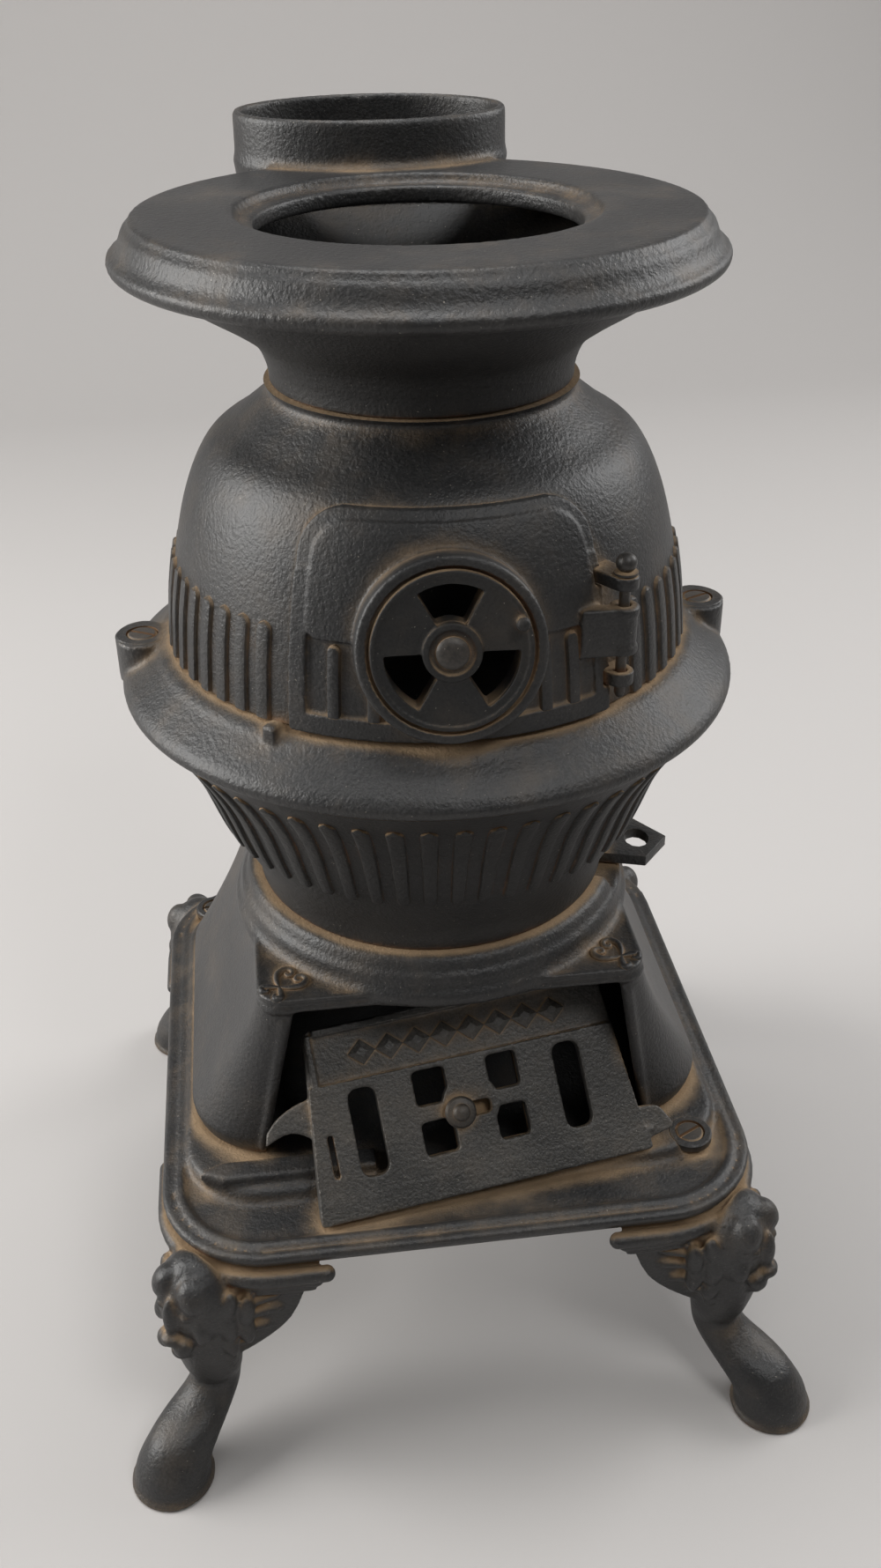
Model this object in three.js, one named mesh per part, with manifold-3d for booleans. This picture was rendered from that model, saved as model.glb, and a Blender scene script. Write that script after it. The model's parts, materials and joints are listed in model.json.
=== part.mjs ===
// A potbelly stove of cast iron, in millimetres.
// Its upright axis is X = Y = 0, the floor is Z = 0 and the feed door faces -Y.
// From the floor up: four legs, base plate, ash pit, fire pot, belly ring, fire dome, throat ring, top plate.

import * as THREE from "three";
import { mergeVertices } from "three/addons/utils/BufferGeometryUtils.js";
import Module from "manifold-3d";

const wasm = await Module();
wasm.setup();

// ---------------------------------------------------------------- driving dimensions

const GAP = 0.3; // clearance between pieces that touch
const WALL = 3; // wall of the castings
const AROUND = 40; // facets round a large turned casting
const PAST = 4; // how far a cutter runs past what it cuts

const TOP_Z = 328.5; // face of the top plate
const PLATE = { flat: 67, rim: 73.6, bottom: 316.5, cavity: 66.8, thick: 3 };
const EYE = { recess: 43.2, ledge: 326, hole: 39, skirt: 321.5 };
const COLLAR = { x: -4.2, y: 78, halfX: 37.5, halfY: 28, top: 340.5, wall: 2.2, floor: 319.5 };

const THROAT = { rim: 66.2, rimWall: 4, ledge: 316 };
const RING = { bottom: 208.8, top: 222.4, outer: 82.8 };
const POT_TOP = 208.5;
const EAR = { x: 76.5, y: 3, radius: 7.6, drop: 10, top: 221.8 };

const FEED_DOOR = { left: -34.5, right: 32, bottom: 223.1, top: 275, corner: 9, thick: 2.8 };
const FEED_HOLE = { left: -31, right: 28.5, bottom: 227, top: 271, corner: 6 };
const HINGE = { x: 39.3, y: -59.5, pin: 1.3, hole: 1.6, boss: 3.4 };
const UPPER_LUG = [254.5, 257.7];
const LOWER_LUG = [230, 233.5];
const KNUCKLE = [238, 250.5];
const WHEEL = { x: -2.5, y: -71, z: 247.3, azimuth: -2, tilt: 11, radius: 18.7, thick: 1.6 };
const BEZEL = { radius: 21, height: 1.7, depth: 9 };
const SECTOR = { inner: 6.8, outer: 15.4, halfAngle: 29 };

const PIT = { bottom: 80.3, top: 137, plate: 3.5, seat: 147, seatRadius: 56, hole: 46 };
const PIT_TOP = { half: 53.3, corner: 7 };
const PIT_FOOT = { halfX: 76.2, front: 53.2, back: 70, corner: 24, widest: 86 };
const PIT_DOOR = { left: -44.4, right: 46.5, footHalf: 55.5, top: 133.7, corner: 3 };

const BASE = { halfX: 85.5, halfY: 88, corner: 30, bottom: 71.5, apron: 76.5, deck: 80 };
const DECK = { halfX: 78, front: 66, back: 76, corner: 22 };
const SILL = { left: -74, right: -24, front: -63, back: -55.5, top: 83 };

const FOOT = { x: 89, y: 95.5 };
const FRONT_SCREW = { x: 68, y: 60 };
const BACK_SCREW = { x: 70, y: 72 };
const SCREW = { shank: 1.9, hole: 2.3, head: 4, headHeight: 2.4, sink: 2.7, nut: 3.6, nutHeight: 3.2 };

const GRATE = { radius: 43.5, bottom: 146.8, thick: 4, slot: 5, pitch: 10 };
const BAR = { bottom: 143.2, top: 146.5, azimuth: -3.2, tip: 71, halfAngle: 11.5 };
const PIVOT = { shaft: 2.6, hole: 3, shoulder: 7, head: 4.6 };
const SHAKE_DEG = 10;

// The ash door leans in the pit's mouth: its frame starts at the left end of its lower outer edge,
// with x along the door, y into the stove and z up the door.
const ASH_DOOR = { x: -39.7, y: -79.1, z: 77.3, yaw: 5.82, lean: -40, roll: -3.05 };
const ASH_PANEL = {
  middle: 47, footHalf: 48.5, bandHalf: 45.2, topHalf: 43.4, height: 53.4, corner: 3,
  band: 37.8, thick: 3, raised: 1.2,
};
const KNOB_BOSS = { x: 46.6, z: 23.9, radius: 8.2 };
const SLIDE = { left: 24, right: 65, bottom: 10, top: 38, thick: 1.6, travel: 7.5 };
const SLIDE_KNOB = { x: 42.6, z: 22.4, radius: 4.6, stem: 1.6 };

// ---------------------------------------------------------------- materials

const iron = (colour, roughness) =>
  new THREE.MeshStandardMaterial({ color: colour, roughness, metalness: 0.6 });
const BLACK_IRON = iron(0x2a2a2b, 0.5); // oiled black castings
const FIRED_IRON = iron(0x3a2c24, 0.85); // castings that the fire has browned
const DARK_STEEL = iron(0x37332f, 0.55); // screws, nuts and pins

// ---------------------------------------------------------------- solids

const radians = THREE.MathUtils.degToRad;

// A closed geometry as a solid that can be joined and cut.
function solid(geometry) {
  const bare = geometry.clone();
  bare.deleteAttribute("normal");
  bare.deleteAttribute("uv");
  const merged = mergeVertices(bare, 1e-4);
  const corners = merged.index.array;
  const kept = [];
  for (let i = 0; i < corners.length; i += 3) {
    const [a, b, c] = corners.slice(i, i + 3);
    if (a !== b && b !== c && c !== a) kept.push(a, b, c);
  }
  return new wasm.Manifold(
    new wasm.Mesh({
      numProp: 3,
      vertProperties: new Float32Array(merged.attributes.position.array),
      triVerts: new Uint32Array(kept),
    }),
  );
}

const joined = (first, ...others) => others.reduce((whole, other) => whole.add(other), first);
const cut = (first, ...others) => others.reduce((whole, other) => whole.subtract(other), first);

// A finished solid as a named mesh; shift moves its points, so that the mesh can turn about its own origin.
function piece(name, made, material, shift = [0, 0, 0]) {
  const { vertProperties, triVerts } = made.getMesh();
  const geometry = new THREE.BufferGeometry();
  geometry.setAttribute("position", new THREE.BufferAttribute(new Float32Array(vertProperties), 3));
  geometry.setIndex(new THREE.BufferAttribute(new Uint32Array(triVerts), 1));
  geometry.translate(...shift);
  geometry.computeVertexNormals();
  const mesh = new THREE.Mesh(geometry, material);
  mesh.name = name;
  return mesh;
}

const vector = ([x, y]) => new THREE.Vector2(x, y);

// A smooth outline through a few [radius, height] points.
const curve = (points, steps) => new THREE.SplineCurve(points.map(vector)).getSpacedPoints(steps);

// A solid turned about the upright axis. The profile runs from the axis back to it, or is closed into a ring.
function turned(profile, facets = AROUND) {
  const points = profile.map((p) => (Array.isArray(p) ? vector(p) : p.clone()));
  if (points[0].x > 0) points.push(points[0].clone());
  if (THREE.ShapeUtils.area(points) < 0) points.reverse();
  return solid(new THREE.LatheGeometry(points, facets).rotateX(Math.PI / 2));
}

// The section of a wall: an outline read from the top down, and the same outline moved inwards.
function wallSection(outer, thick) {
  const inner = outer.map((point, i) => {
    const before = outer[Math.max(i - 1, 0)];
    const after = outer[Math.min(i + 1, outer.length - 1)];
    const along = after.clone().sub(before).normalize();
    const moved = new THREE.Vector2(point.x + along.y * thick, point.y - along.x * thick);
    moved.y = THREE.MathUtils.clamp(moved.y, outer.at(-1).y, outer[0].y);
    return moved;
  });
  return [...outer, ...inner.reverse()];
}

// The space that an outline turned about the axis fills, down to its lowest point.
const filled = (outer) => [[0, outer[0].y], ...outer, [0, outer.at(-1).y]];

function block(x0, x1, y0, y1, z0, z1) {
  const box = new THREE.BoxGeometry(x1 - x0, y1 - y0, z1 - z0);
  return solid(box.translate((x0 + x1) / 2, (y0 + y1) / 2, (z0 + z1) / 2));
}

function rod(x, y, z0, z1, radius, facets = 16) {
  const cylinder = new THREE.CylinderGeometry(radius, radius, z1 - z0, facets);
  return solid(cylinder.rotateX(Math.PI / 2).translate(x, y, (z0 + z1) / 2));
}

// A flat outline pushed up from z0 to z1.
function slab(shape, z0, z1, curveSegments = 6) {
  const settings = { depth: z1 - z0, bevelEnabled: false, curveSegments };
  return solid(new THREE.ExtrudeGeometry(shape, settings).translate(0, 0, z0));
}

// A flat outline drawn as seen from the front, pushed back from y0 to y1.
function upright(shape, y0, y1, curveSegments = 6) {
  const settings = { depth: y1 - y0, bevelEnabled: false, curveSegments };
  return solid(new THREE.ExtrudeGeometry(shape, settings).rotateX(Math.PI / 2).translate(0, y1, 0));
}

// Convex outlines of equal counts, joined from the lowest to the highest.
function loft(sections) {
  const count = sections[0].outline.length;
  const places = sections.flatMap(({ z, outline }) => outline.flatMap((p) => [p.x, p.y, z]));
  const faces = [];
  const last = (sections.length - 1) * count;
  for (let start = 0; start < last; start += count) {
    for (let i = 0; i < count; i++) {
      const here = start + i;
      const next = start + ((i + 1) % count);
      faces.push(here, next, next + count, here, next + count, here + count);
    }
  }
  for (let i = 1; i + 1 < count; i++) {
    faces.push(0, i + 1, i, last, last + i, last + i + 1);
  }
  const geometry = new THREE.BufferGeometry();
  geometry.setAttribute("position", new THREE.Float32BufferAttribute(places, 3));
  geometry.setIndex(faces);
  return solid(geometry);
}

// A rectangle with round corners, anticlockwise as seen from above.
function roundedOutline({ left, right, front, back, corner }, steps = 5) {
  const centres = [
    [right - corner, back - corner],
    [left + corner, back - corner],
    [left + corner, front + corner],
    [right - corner, front + corner],
  ];
  return centres.flatMap(([x, y], quarter) =>
    Array.from({ length: steps + 1 }, (_, i) => {
      const angle = ((quarter + i / steps) * Math.PI) / 2;
      return new THREE.Vector2(x + corner * Math.cos(angle), y + corner * Math.sin(angle));
    }),
  );
}

// An ellipse, with its first half-axis turned to an angle.
function ellipse(x, y, along, across, turn = 0, count = 14) {
  return Array.from({ length: count }, (_, i) => {
    const angle = (i / count) * 2 * Math.PI;
    const point = new THREE.Vector2(along * Math.cos(angle), across * Math.sin(angle));
    return point.rotateAround(new THREE.Vector2(), turn).add(new THREE.Vector2(x, y));
  });
}

// A polygon hole or outline from plain points.
const outline = (points) => new THREE.Shape(points.map(vector));

function roundHole(x, y, radius) {
  const hole = new THREE.Path();
  hole.absarc(x, y, radius, 0, 2 * Math.PI);
  return hole;
}

// ---------------------------------------------------------------- body profiles

// The radius of each casting's outside, read from the top down.
const throatCurve = curve(
  [[64.4, 316], [57.2, 310.5], [47.5, 304.5], [41, 299.5], [38.2, 294], [37.8, 289.3]],
  7,
);
const domeCurve = curve(
  [[39.2, 289], [38.9, 286], [46.7, 280], [55.2, 273.5], [61.6, 260], [66.2, 240], [68, 222.7]],
  9,
);
const potCurve = curve(
  [[80.8, 208.5], [72.3, 199], [65.6, 187], [59.7, 171], [51.9, 155], [50.9, 147.3]],
  8,
);

// The same outline standing off by a distance, for what lies over it.
const stoodOff = (points, distance) =>
  points.map((point) => new THREE.Vector2(point.x + distance, point.y));

function radiusAt(points, z) {
  const below = points.findIndex((point) => point.y <= z);
  if (below <= 0) return points.at(below).x;
  const [high, low] = [points[below - 1], points[below]];
  return THREE.MathUtils.mapLinear(z, low.y, high.y, low.x, high.x);
}

// ---------------------------------------------------------------- top plate

function collarOutline(grow) {
  return ellipse(COLLAR.x, COLLAR.y, COLLAR.halfX + grow, COLLAR.halfY + grow, 0, 28);
}

function topPlate() {
  const { flat, rim, bottom, cavity, thick } = PLATE;
  const disc = turned([
    [0, TOP_Z], [flat, TOP_Z], [flat + 1, TOP_Z - 2], [flat + 3.4, TOP_Z - 6],
    [rim - 0.6, TOP_Z - 8.4], [rim, TOP_Z - 9.2], [rim - 0.6, bottom + 1], [rim - 2.4, bottom], [0, bottom],
  ]);
  const lobe = loft([
    { z: bottom, outline: collarOutline(-1) },
    { z: TOP_Z - 9, outline: collarOutline(1.2) },
    { z: TOP_Z - 1, outline: collarOutline(1.2) },
    { z: TOP_Z + 0.8, outline: collarOutline(0.6) },
    { z: TOP_Z + 3, outline: collarOutline(0) },
    { z: COLLAR.top, outline: collarOutline(0) },
  ]);
  const underside = turned([
    [0, bottom - PAST], [cavity, bottom - PAST], [cavity, TOP_Z - thick],
    [EYE.recess + 1, TOP_Z - thick], [EYE.recess + 1, EYE.skirt], [0, EYE.skirt],
  ]);
  const eye = turned([
    [0, bottom], [EYE.hole, bottom], [EYE.hole, EYE.ledge],
    [EYE.recess, EYE.ledge], [EYE.recess, TOP_Z + PAST], [0, TOP_Z + PAST],
  ]);
  const flue = loft([
    { z: COLLAR.floor, outline: collarOutline(-COLLAR.wall) },
    { z: COLLAR.top + PAST, outline: collarOutline(-COLLAR.wall) },
  ]);
  return piece("top_plate", cut(joined(disc, lobe), underside, eye, flue), BLACK_IRON);
}

// ---------------------------------------------------------------- throat and dome

function throatRing() {
  const { rim, rimWall, ledge } = THROAT;
  const top = TOP_Z - PLATE.thick - GAP;
  const cone = turned(wallSection(throatCurve, WALL));
  const lip = turned([[rim, ledge - 2.4], [rim, top], [rim - rimWall, top], [rim - rimWall, ledge - 2.4]]);
  const flue = block(COLLAR.x - 26, COLLAR.x + 26, 0, rim + PAST, ledge + 2, top + PAST);
  return piece("throat_ring", cut(joined(cone, lip), flue), FIRED_IRON);
}

// A panel bent round the stove between two azimuths, with its upper corners rounded.
function bentPanel({ left, right, bottom, top, corner }, innerRadius, outerRadius) {
  const columns = 10;
  const rows = 12;
  const panel = new THREE.BoxGeometry(1, 1, 1, columns, 1, rows);
  const places = panel.attributes.position;
  const middle = (left + right) / 2;
  const half = (right - left) / 2;
  for (let i = 0; i < places.count; i++) {
    const z = bottom + (places.getZ(i) + 0.5) * (top - bottom);
    const radius = places.getY(i) > 0 ? innerRadius(z) : outerRadius(z);
    const rise = Math.max(z - (top - corner), 0);
    const drawnIn = corner - Math.sqrt(Math.max(corner * corner - rise * rise, 0));
    const halfHere = radians(half) - drawnIn / radiusAt(domeCurve, z);
    const azimuth = radians(middle) + places.getX(i) * 2 * halfHere;
    places.setXYZ(i, radius * Math.sin(azimuth), -radius * Math.cos(azimuth), z);
  }
  return solid(panel);
}

// An eye round the hinge line with a web that reaches towards the dome.
function hingeEye([low, high], radius) {
  const web = new THREE.BoxGeometry(16, 2 * radius, high - low);
  web.translate(-8, 0, 0).rotateZ(Math.atan2(HINGE.y, HINGE.x));
  web.translate(HINGE.x, HINGE.y, (low + high) / 2);
  return joined(rod(HINGE.x, HINGE.y, low, high, radius), solid(web));
}

const hingeHole = () => rod(HINGE.x, HINGE.y, LOWER_LUG[0] - PAST, UPPER_LUG[1] + PAST, HINGE.hole, 12);

function fireDome() {
  const inner = wallSection(domeCurve, WALL + 0.4).slice(domeCurve.length).reverse();
  const inside = turned([
    [0, domeCurve[0].y + PAST], [inner[0].x, domeCurve[0].y + PAST], ...inner, [0, inner.at(-1).y],
  ]);
  const mouth = bentPanel(
    FEED_HOLE,
    (z) => radiusAt(domeCurve, z) - 3 * WALL,
    (z) => radiusAt(domeCurve, z) + 2 * WALL,
  );
  const outside = joined(
    turned(filled(domeCurve)),
    hingeEye(UPPER_LUG, HINGE.boss - 0.2),
    hingeEye(LOWER_LUG, HINGE.boss - 0.2),
  );
  return piece("fire_dome", cut(outside, inside, mouth, hingeHole()), BLACK_IRON);
}

// ---------------------------------------------------------------- feed door and draft wheel

const wheelTurn = new THREE.Euler(radians(90 - WHEEL.tilt), 0, radians(WHEEL.azimuth), "ZXY");

// Moves a solid drawn flat, face up, onto the face of the feed door.
function ontoFeedDoor(made) {
  const place = new THREE.Matrix4().makeRotationFromEuler(wheelTurn);
  place.setPosition(WHEEL.x, WHEEL.y, WHEEL.z);
  return made.transform(place.elements);
}

// One of the three air holes, between two circles.
function airHole(middle, shape = new THREE.Path()) {
  const { inner, outer, halfAngle } = SECTOR;
  shape.absarc(0, 0, outer, radians(middle - halfAngle), radians(middle + halfAngle), false);
  shape.absarc(0, 0, inner, radians(middle + halfAngle), radians(middle - halfAngle), true);
  return shape;
}

const AIR_HOLES = [90, 210, 330];

function feedDoor() {
  const { radius, height, depth } = BEZEL;
  const panel = bentPanel(
    FEED_DOOR,
    (z) => radiusAt(domeCurve, z) - WALL,
    (z) => radiusAt(domeCurve, z) + GAP + FEED_DOOR.thick,
  );
  const strap = block(HINGE.x - 9.5, HINGE.x, HINGE.y - HINGE.boss + 0.3, HINGE.y + 1, ...KNUCKLE);
  const knuckle = joined(rod(HINGE.x, HINGE.y, ...KNUCKLE, HINGE.boss), strap);
  const pad = ontoFeedDoor(rod(0, 0, -depth, height, radius, 28));
  const pocket = ontoFeedDoor(rod(0, 0, 0, height + PAST, WHEEL.radius + 0.6, 28));
  const holes = AIR_HOLES.map((angle) =>
    ontoFeedDoor(slab(airHole(angle, new THREE.Shape()), -3 * depth, PAST, 4)),
  );
  const rivetHole = ontoFeedDoor(rod(0, 0, -3 * depth, PAST, 1.6, 12));
  const body = turned(filled(stoodOff(domeCurve, GAP)));
  const lugRoom = [UPPER_LUG, LOWER_LUG].map(([low, high]) =>
    hingeEye([low - 0.5, high + 0.5], HINGE.boss + 0.5),
  );
  const made = cut(joined(panel, knuckle, pad), body, pocket, ...lugRoom, ...holes, rivetHole, hingeHole());
  return piece("feed_door", made, BLACK_IRON, [-HINGE.x, -HINGE.y, 0]);
}

function draftWheel() {
  const disc = new THREE.Shape();
  disc.absarc(0, 0, WHEEL.radius, 0, 2 * Math.PI);
  disc.holes = [...AIR_HOLES.map((angle) => airHole(angle)), roundHole(0, 0, 1.7)];
  const knob = rod(WHEEL.radius * 0.87, 3.6, GAP + 1, GAP + WHEEL.thick + 3.2, 1.5, 10);
  return piece("draft_wheel", joined(slab(disc, GAP, GAP + WHEEL.thick, 10), knob), BLACK_IRON);
}

function draftRivet() {
  const face = GAP + WHEEL.thick + GAP;
  const back = WHEEL.y + radiusAt(domeCurve, WHEEL.z) - 0.6;
  const made = turned([
    [0, face + 2.4], [2.4, face + 1.9], [3.6, face], [1.3, face],
    [1.3, back], [2.6, back], [2, back - 1.6], [0, back - 1.6],
  ], 16);
  return piece("draft_rivet", made, DARK_STEEL);
}

function hingePin() {
  const ball = { z: UPPER_LUG[1] + GAP + 2.5, radius: 2.6 };
  const shaft = rod(0, 0, LOWER_LUG[0] - 3.6, ball.z, HINGE.pin, 12);
  const head = new THREE.SphereGeometry(ball.radius, 12, 8).rotateX(Math.PI / 2).translate(0, 0, ball.z);
  return piece("hinge_pin", joined(shaft, solid(head)), DARK_STEEL);
}

// ---------------------------------------------------------------- belly ring and fire pot

function bellyRing() {
  const { bottom, top, outer } = RING;
  const ring = turned([
    [64, top], [68.2, top], [72.8, 220.4], [81.5, 213.5], [outer, 211.3], [outer - 0.6, 209.3],
    [outer - 1.4, bottom], [77.5, bottom], [77.5, 212], [71, 217], [64, 218.6],
  ]);
  const ears = [1, -1].map((side) => rod(side * EAR.x, EAR.y, bottom, EAR.top, EAR.radius));
  const seats = [1, -1].map((side) => screwSeat(side * EAR.x, EAR.y, EAR.top));
  const holes = [1, -1].map((side) => rod(side * EAR.x, EAR.y, bottom - 1, top, SCREW.hole, 10));
  return piece("belly_ring", cut(joined(ring, ...ears), ...seats, ...holes), BLACK_IRON);
}

function firePot() {
  const wall = turned(wallSection(potCurve, WALL + 0.6));
  const inside = turned(filled(stoodOff(potCurve, -WALL)));
  const ears = [1, -1].map((side) => rod(side * EAR.x, EAR.y, POT_TOP - EAR.drop, POT_TOP, EAR.radius));
  const holes = [1, -1].map((side) =>
    rod(side * EAR.x, EAR.y, POT_TOP - EAR.drop - 1, POT_TOP + 1, SCREW.hole, 10),
  );
  return piece("fire_pot", cut(joined(wall, ...ears.map((ear) => cut(ear, inside))), ...holes), FIRED_IRON);
}

// ---------------------------------------------------------------- fasteners

// The sunk seat that lets a screw's head lie flush with a face.
const screwSeat = (x, y, face) => rod(x, y, face - SCREW.sink, face + 1, SCREW.head + 0.5);

// A flat-headed slotted screw: its head stands on z = 0 and its shank hangs below.
function screw(name, length) {
  const { shank, head, headHeight } = SCREW;
  const made = turned([
    [0, headHeight], [head - 0.5, headHeight], [head, headHeight - 0.5], [head, 0],
    [shank, 0], [shank, -length], [0, -length],
  ], 12);
  const slot = block(-head - 1, head + 1, -0.5, 0.5, headHeight * 0.5, headHeight + 1);
  return piece(name, cut(made, slot), DARK_STEEL);
}

// A hexagon nut whose upper face is z = 0.
function nut(name) {
  const { nut: radius, nutHeight, hole } = SCREW;
  const hexagon = new THREE.Shape(ellipse(0, 0, radius, radius, 0, 6));
  hexagon.holes = [roundHole(0, 0, hole)];
  return piece(name, slab(hexagon, -nutHeight, 0, 6), DARK_STEEL);
}

function placed(mesh, x, y, z) {
  mesh.position.set(x, y, z);
  return mesh;
}

// A screw sunk in a face, down to a nut under the lower piece.
function fastened(name, x, y, face, nutZ) {
  const headZ = face - SCREW.sink;
  return [
    placed(screw(`${name}_screw`, headZ - nutZ + SCREW.nutHeight + 1.5), x, y, headZ + GAP),
    placed(nut(`${name}_nut`), x, y, nutZ - GAP),
  ];
}

// ---------------------------------------------------------------- ash pit

// A level section of the pit, from 0 at its foot to 1 at its shoulder.
function pitSection(z, shrink) {
  const fall = THREE.MathUtils.clamp((PIT.top - z) / (PIT.top - PIT_FOOT.widest), 0, 1);
  const flare = fall ** 1.35;
  const halfX = THREE.MathUtils.lerp(PIT_TOP.half, PIT_FOOT.halfX, flare) - shrink;
  const back = THREE.MathUtils.lerp(PIT_TOP.half, PIT_FOOT.back, flare) - shrink;
  const corner = THREE.MathUtils.lerp(PIT_TOP.corner, PIT_FOOT.corner, flare) - shrink / 2;
  return {
    z,
    outline: roundedOutline({ left: -halfX, right: halfX, front: shrink - PIT_FOOT.front, back, corner }),
  };
}

function pitLoft(low, high, shrink) {
  const steps = 7;
  const heights = Array.from({ length: steps + 1 }, (_, i) => low + ((high - low) * i) / steps);
  return loft(heights.map((z) => pitSection(z, shrink)));
}

// The mouth that the ash door closes, as seen from the front.
function pitMouth() {
  const { left, right, footHalf, top, corner } = PIT_DOOR;
  const foot = PIT.bottom - 1;
  const mouth = new THREE.Shape([[-footHalf, foot], [footHalf, foot]].map(vector));
  mouth.lineTo(right, top - corner);
  mouth.quadraticCurveTo(right, top, right - corner, top);
  mouth.lineTo(left + corner, top);
  mouth.quadraticCurveTo(left, top, left, top - corner);
  return upright(mouth, -PIT_FOOT.front - PAST, -PIT_FOOT.front + WALL + 2);
}

// The part of the seat that the shaker bar swings through.
function shakerGate() {
  const half = BAR.halfAngle + SHAKE_DEG;
  const reach = PIT.seatRadius + 2 * PAST;
  const ends = [BAR.azimuth - half, BAR.azimuth + half].map((angle) =>
    new THREE.Vector2(reach, 0).rotateAround(new THREE.Vector2(), radians(angle)).toArray(),
  );
  return slab(outline([[0, 0], ...ends]), BAR.bottom - 0.7, PIT.seat + 1);
}

function ashPit() {
  const { bottom, top, plate, seat, seatRadius, hole } = PIT;
  const shell = cut(pitLoft(bottom, top, 0), pitLoft(bottom - 1, top - plate, WALL));
  const seatRing = turned([
    [hole, top - plate], [seatRadius + 1, top - plate], [seatRadius + 0.6, top + 2], [seatRadius, top + 5.8],
    [seatRadius - 1.6, seat - 2], [seatRadius - 3, seat], [hole, seat],
  ]);
  const well = rod(0, 0, top - plate - 1, seat + 1, hole, AROUND);
  const beam = block(-5, 5, -hole - 3, hole + 3, top - 2 * plate, top - plate + 0.5);
  const pivotHole = rod(0, 0, top - 2 * plate - 1, top, PIVOT.hole, 12);
  const made = joined(cut(joined(shell, seatRing), well), beam);
  return piece("ash_pit", cut(made, pivotHole, pitMouth(), shakerGate()), BLACK_IRON);
}

// ---------------------------------------------------------------- grate

function grate() {
  const { radius, bottom, thick, slot, pitch } = GRATE;
  const top = bottom + thick;
  const slots = [-3, -2, -1, 1, 2, 3].map((row) => {
    const x = row * pitch;
    const end = Math.sqrt((radius - 4) ** 2 - (Math.abs(x) + slot / 2) ** 2);
    return block(x - slot / 2, x + slot / 2, -end, end, bottom - 1, top + 1);
  });
  const pivotHole = rod(0, 0, bottom - 1, top + 1, PIVOT.hole, 12);
  return piece("grate", cut(rod(0, 0, bottom, top, radius, AROUND), ...slots, pivotHole), FIRED_IRON);
}

// The bar that turns the grate. Its wide end stands out at the stove's right side, with an eye for a lifter.
function shakerBar() {
  const side = [[46, 6], [51, 7.4], [63, 10.4]];
  const shape = outline([
    [-8, -5], [8, -6], ...side.map(([x, y]) => [x, -y]), [BAR.tip, 0],
    ...[...side].reverse(), [8, 6], [-8, 5],
  ]);
  const eye = new THREE.Path();
  eye.absellipse(62, 0, 3.7, 4.9, 0, 2 * Math.PI);
  shape.holes = [eye, roundHole(0, 0, PIVOT.hole)];
  const bar = piece("shaker_bar", slab(shape, BAR.bottom, BAR.top, 6), BLACK_IRON);
  bar.rotation.z = radians(BAR.azimuth);
  return bar;
}

function gratePivot() {
  const { shaft, shoulder, head } = PIVOT;
  const beamTop = PIT.top - PIT.plate + 0.5 + GAP;
  const beamFoot = PIT.top - 2 * PIT.plate - GAP;
  const grateTop = GRATE.bottom + GRATE.thick + GAP;
  const made = turned([
    [0, grateTop + 1.8], [head - 1, grateTop + 1.8], [head, grateTop], [shaft, grateTop],
    [shaft, BAR.bottom - GAP], [shoulder, BAR.bottom - GAP], [shoulder, beamTop], [shaft, beamTop],
    [shaft, beamFoot], [head, beamFoot], [head, beamFoot - 1.8], [0, beamFoot - 1.8],
  ], 16);
  return piece("grate_pivot", made, DARK_STEEL);
}

// ---------------------------------------------------------------- base plate and legs

const baseOutline = (grow) =>
  roundedOutline({
    left: -BASE.halfX - grow,
    right: BASE.halfX + grow,
    front: -BASE.halfY - grow,
    back: BASE.halfY + grow,
    corner: BASE.corner + grow,
  }, 8);

const deckOutline = (shrink) =>
  roundedOutline({
    left: shrink - DECK.halfX,
    right: DECK.halfX - shrink,
    front: shrink - DECK.front,
    back: DECK.back - shrink,
    corner: DECK.corner - shrink,
  }, 6);

// The front left leg's screw comes up from below, because the sill covers that place.
const LEGS = [
  { name: "front_left", side: -1, end: 1, screw: FRONT_SCREW, blind: true },
  { name: "front_right", side: 1, end: 1, screw: FRONT_SCREW },
  { name: "back_left", side: -1, end: -1, screw: BACK_SCREW },
  { name: "back_right", side: 1, end: -1, screw: BACK_SCREW },
];

function basePlate() {
  const { bottom, apron, deck } = BASE;
  const plate = loft([
    { z: bottom, outline: baseOutline(-2) },
    { z: bottom + 1.5, outline: baseOutline(-0.4) },
    { z: apron - 2, outline: baseOutline(0) },
    { z: apron, outline: baseOutline(-1.8) },
  ]);
  const raised = loft([
    { z: apron - 1, outline: deckOutline(-1.5) },
    { z: deck, outline: deckOutline(0) },
  ]);
  const sill = block(SILL.left + 6, SILL.right, SILL.front, SILL.back, deck - 1, SILL.top);
  const sillEnd = slab(
    outline([[SILL.left, -59.5], [SILL.left + 6.5, SILL.front], [SILL.left + 6.5, SILL.back]]),
    deck - 1,
    SILL.top,
  );
  const hollow = block(-54, 54, -46, 46, bottom - 1, apron);
  const holes = LEGS.map(({ side, end, screw: at, blind }) =>
    rod(side * at.x, -end * at.y, bottom - 1, blind ? deck - 1 : deck + 1, SCREW.hole, 10),
  );
  const seats = LEGS.filter(({ blind }) => !blind).map(({ side, end, screw: at }) =>
    screwSeat(side * at.x, -end * at.y, deck),
  );
  const made = joined(plate, raised, cut(joined(sill, sillEnd), pitClearance()));
  return piece("base_plate", cut(made, hollow, ...holes, ...seats), BLACK_IRON);
}

// The foot of the pit, grown by the clearance that the sill keeps to it.
const pitClearance = () => pitLoft(PIT.bottom - PAST, PIT.top, -GAP);

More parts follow.
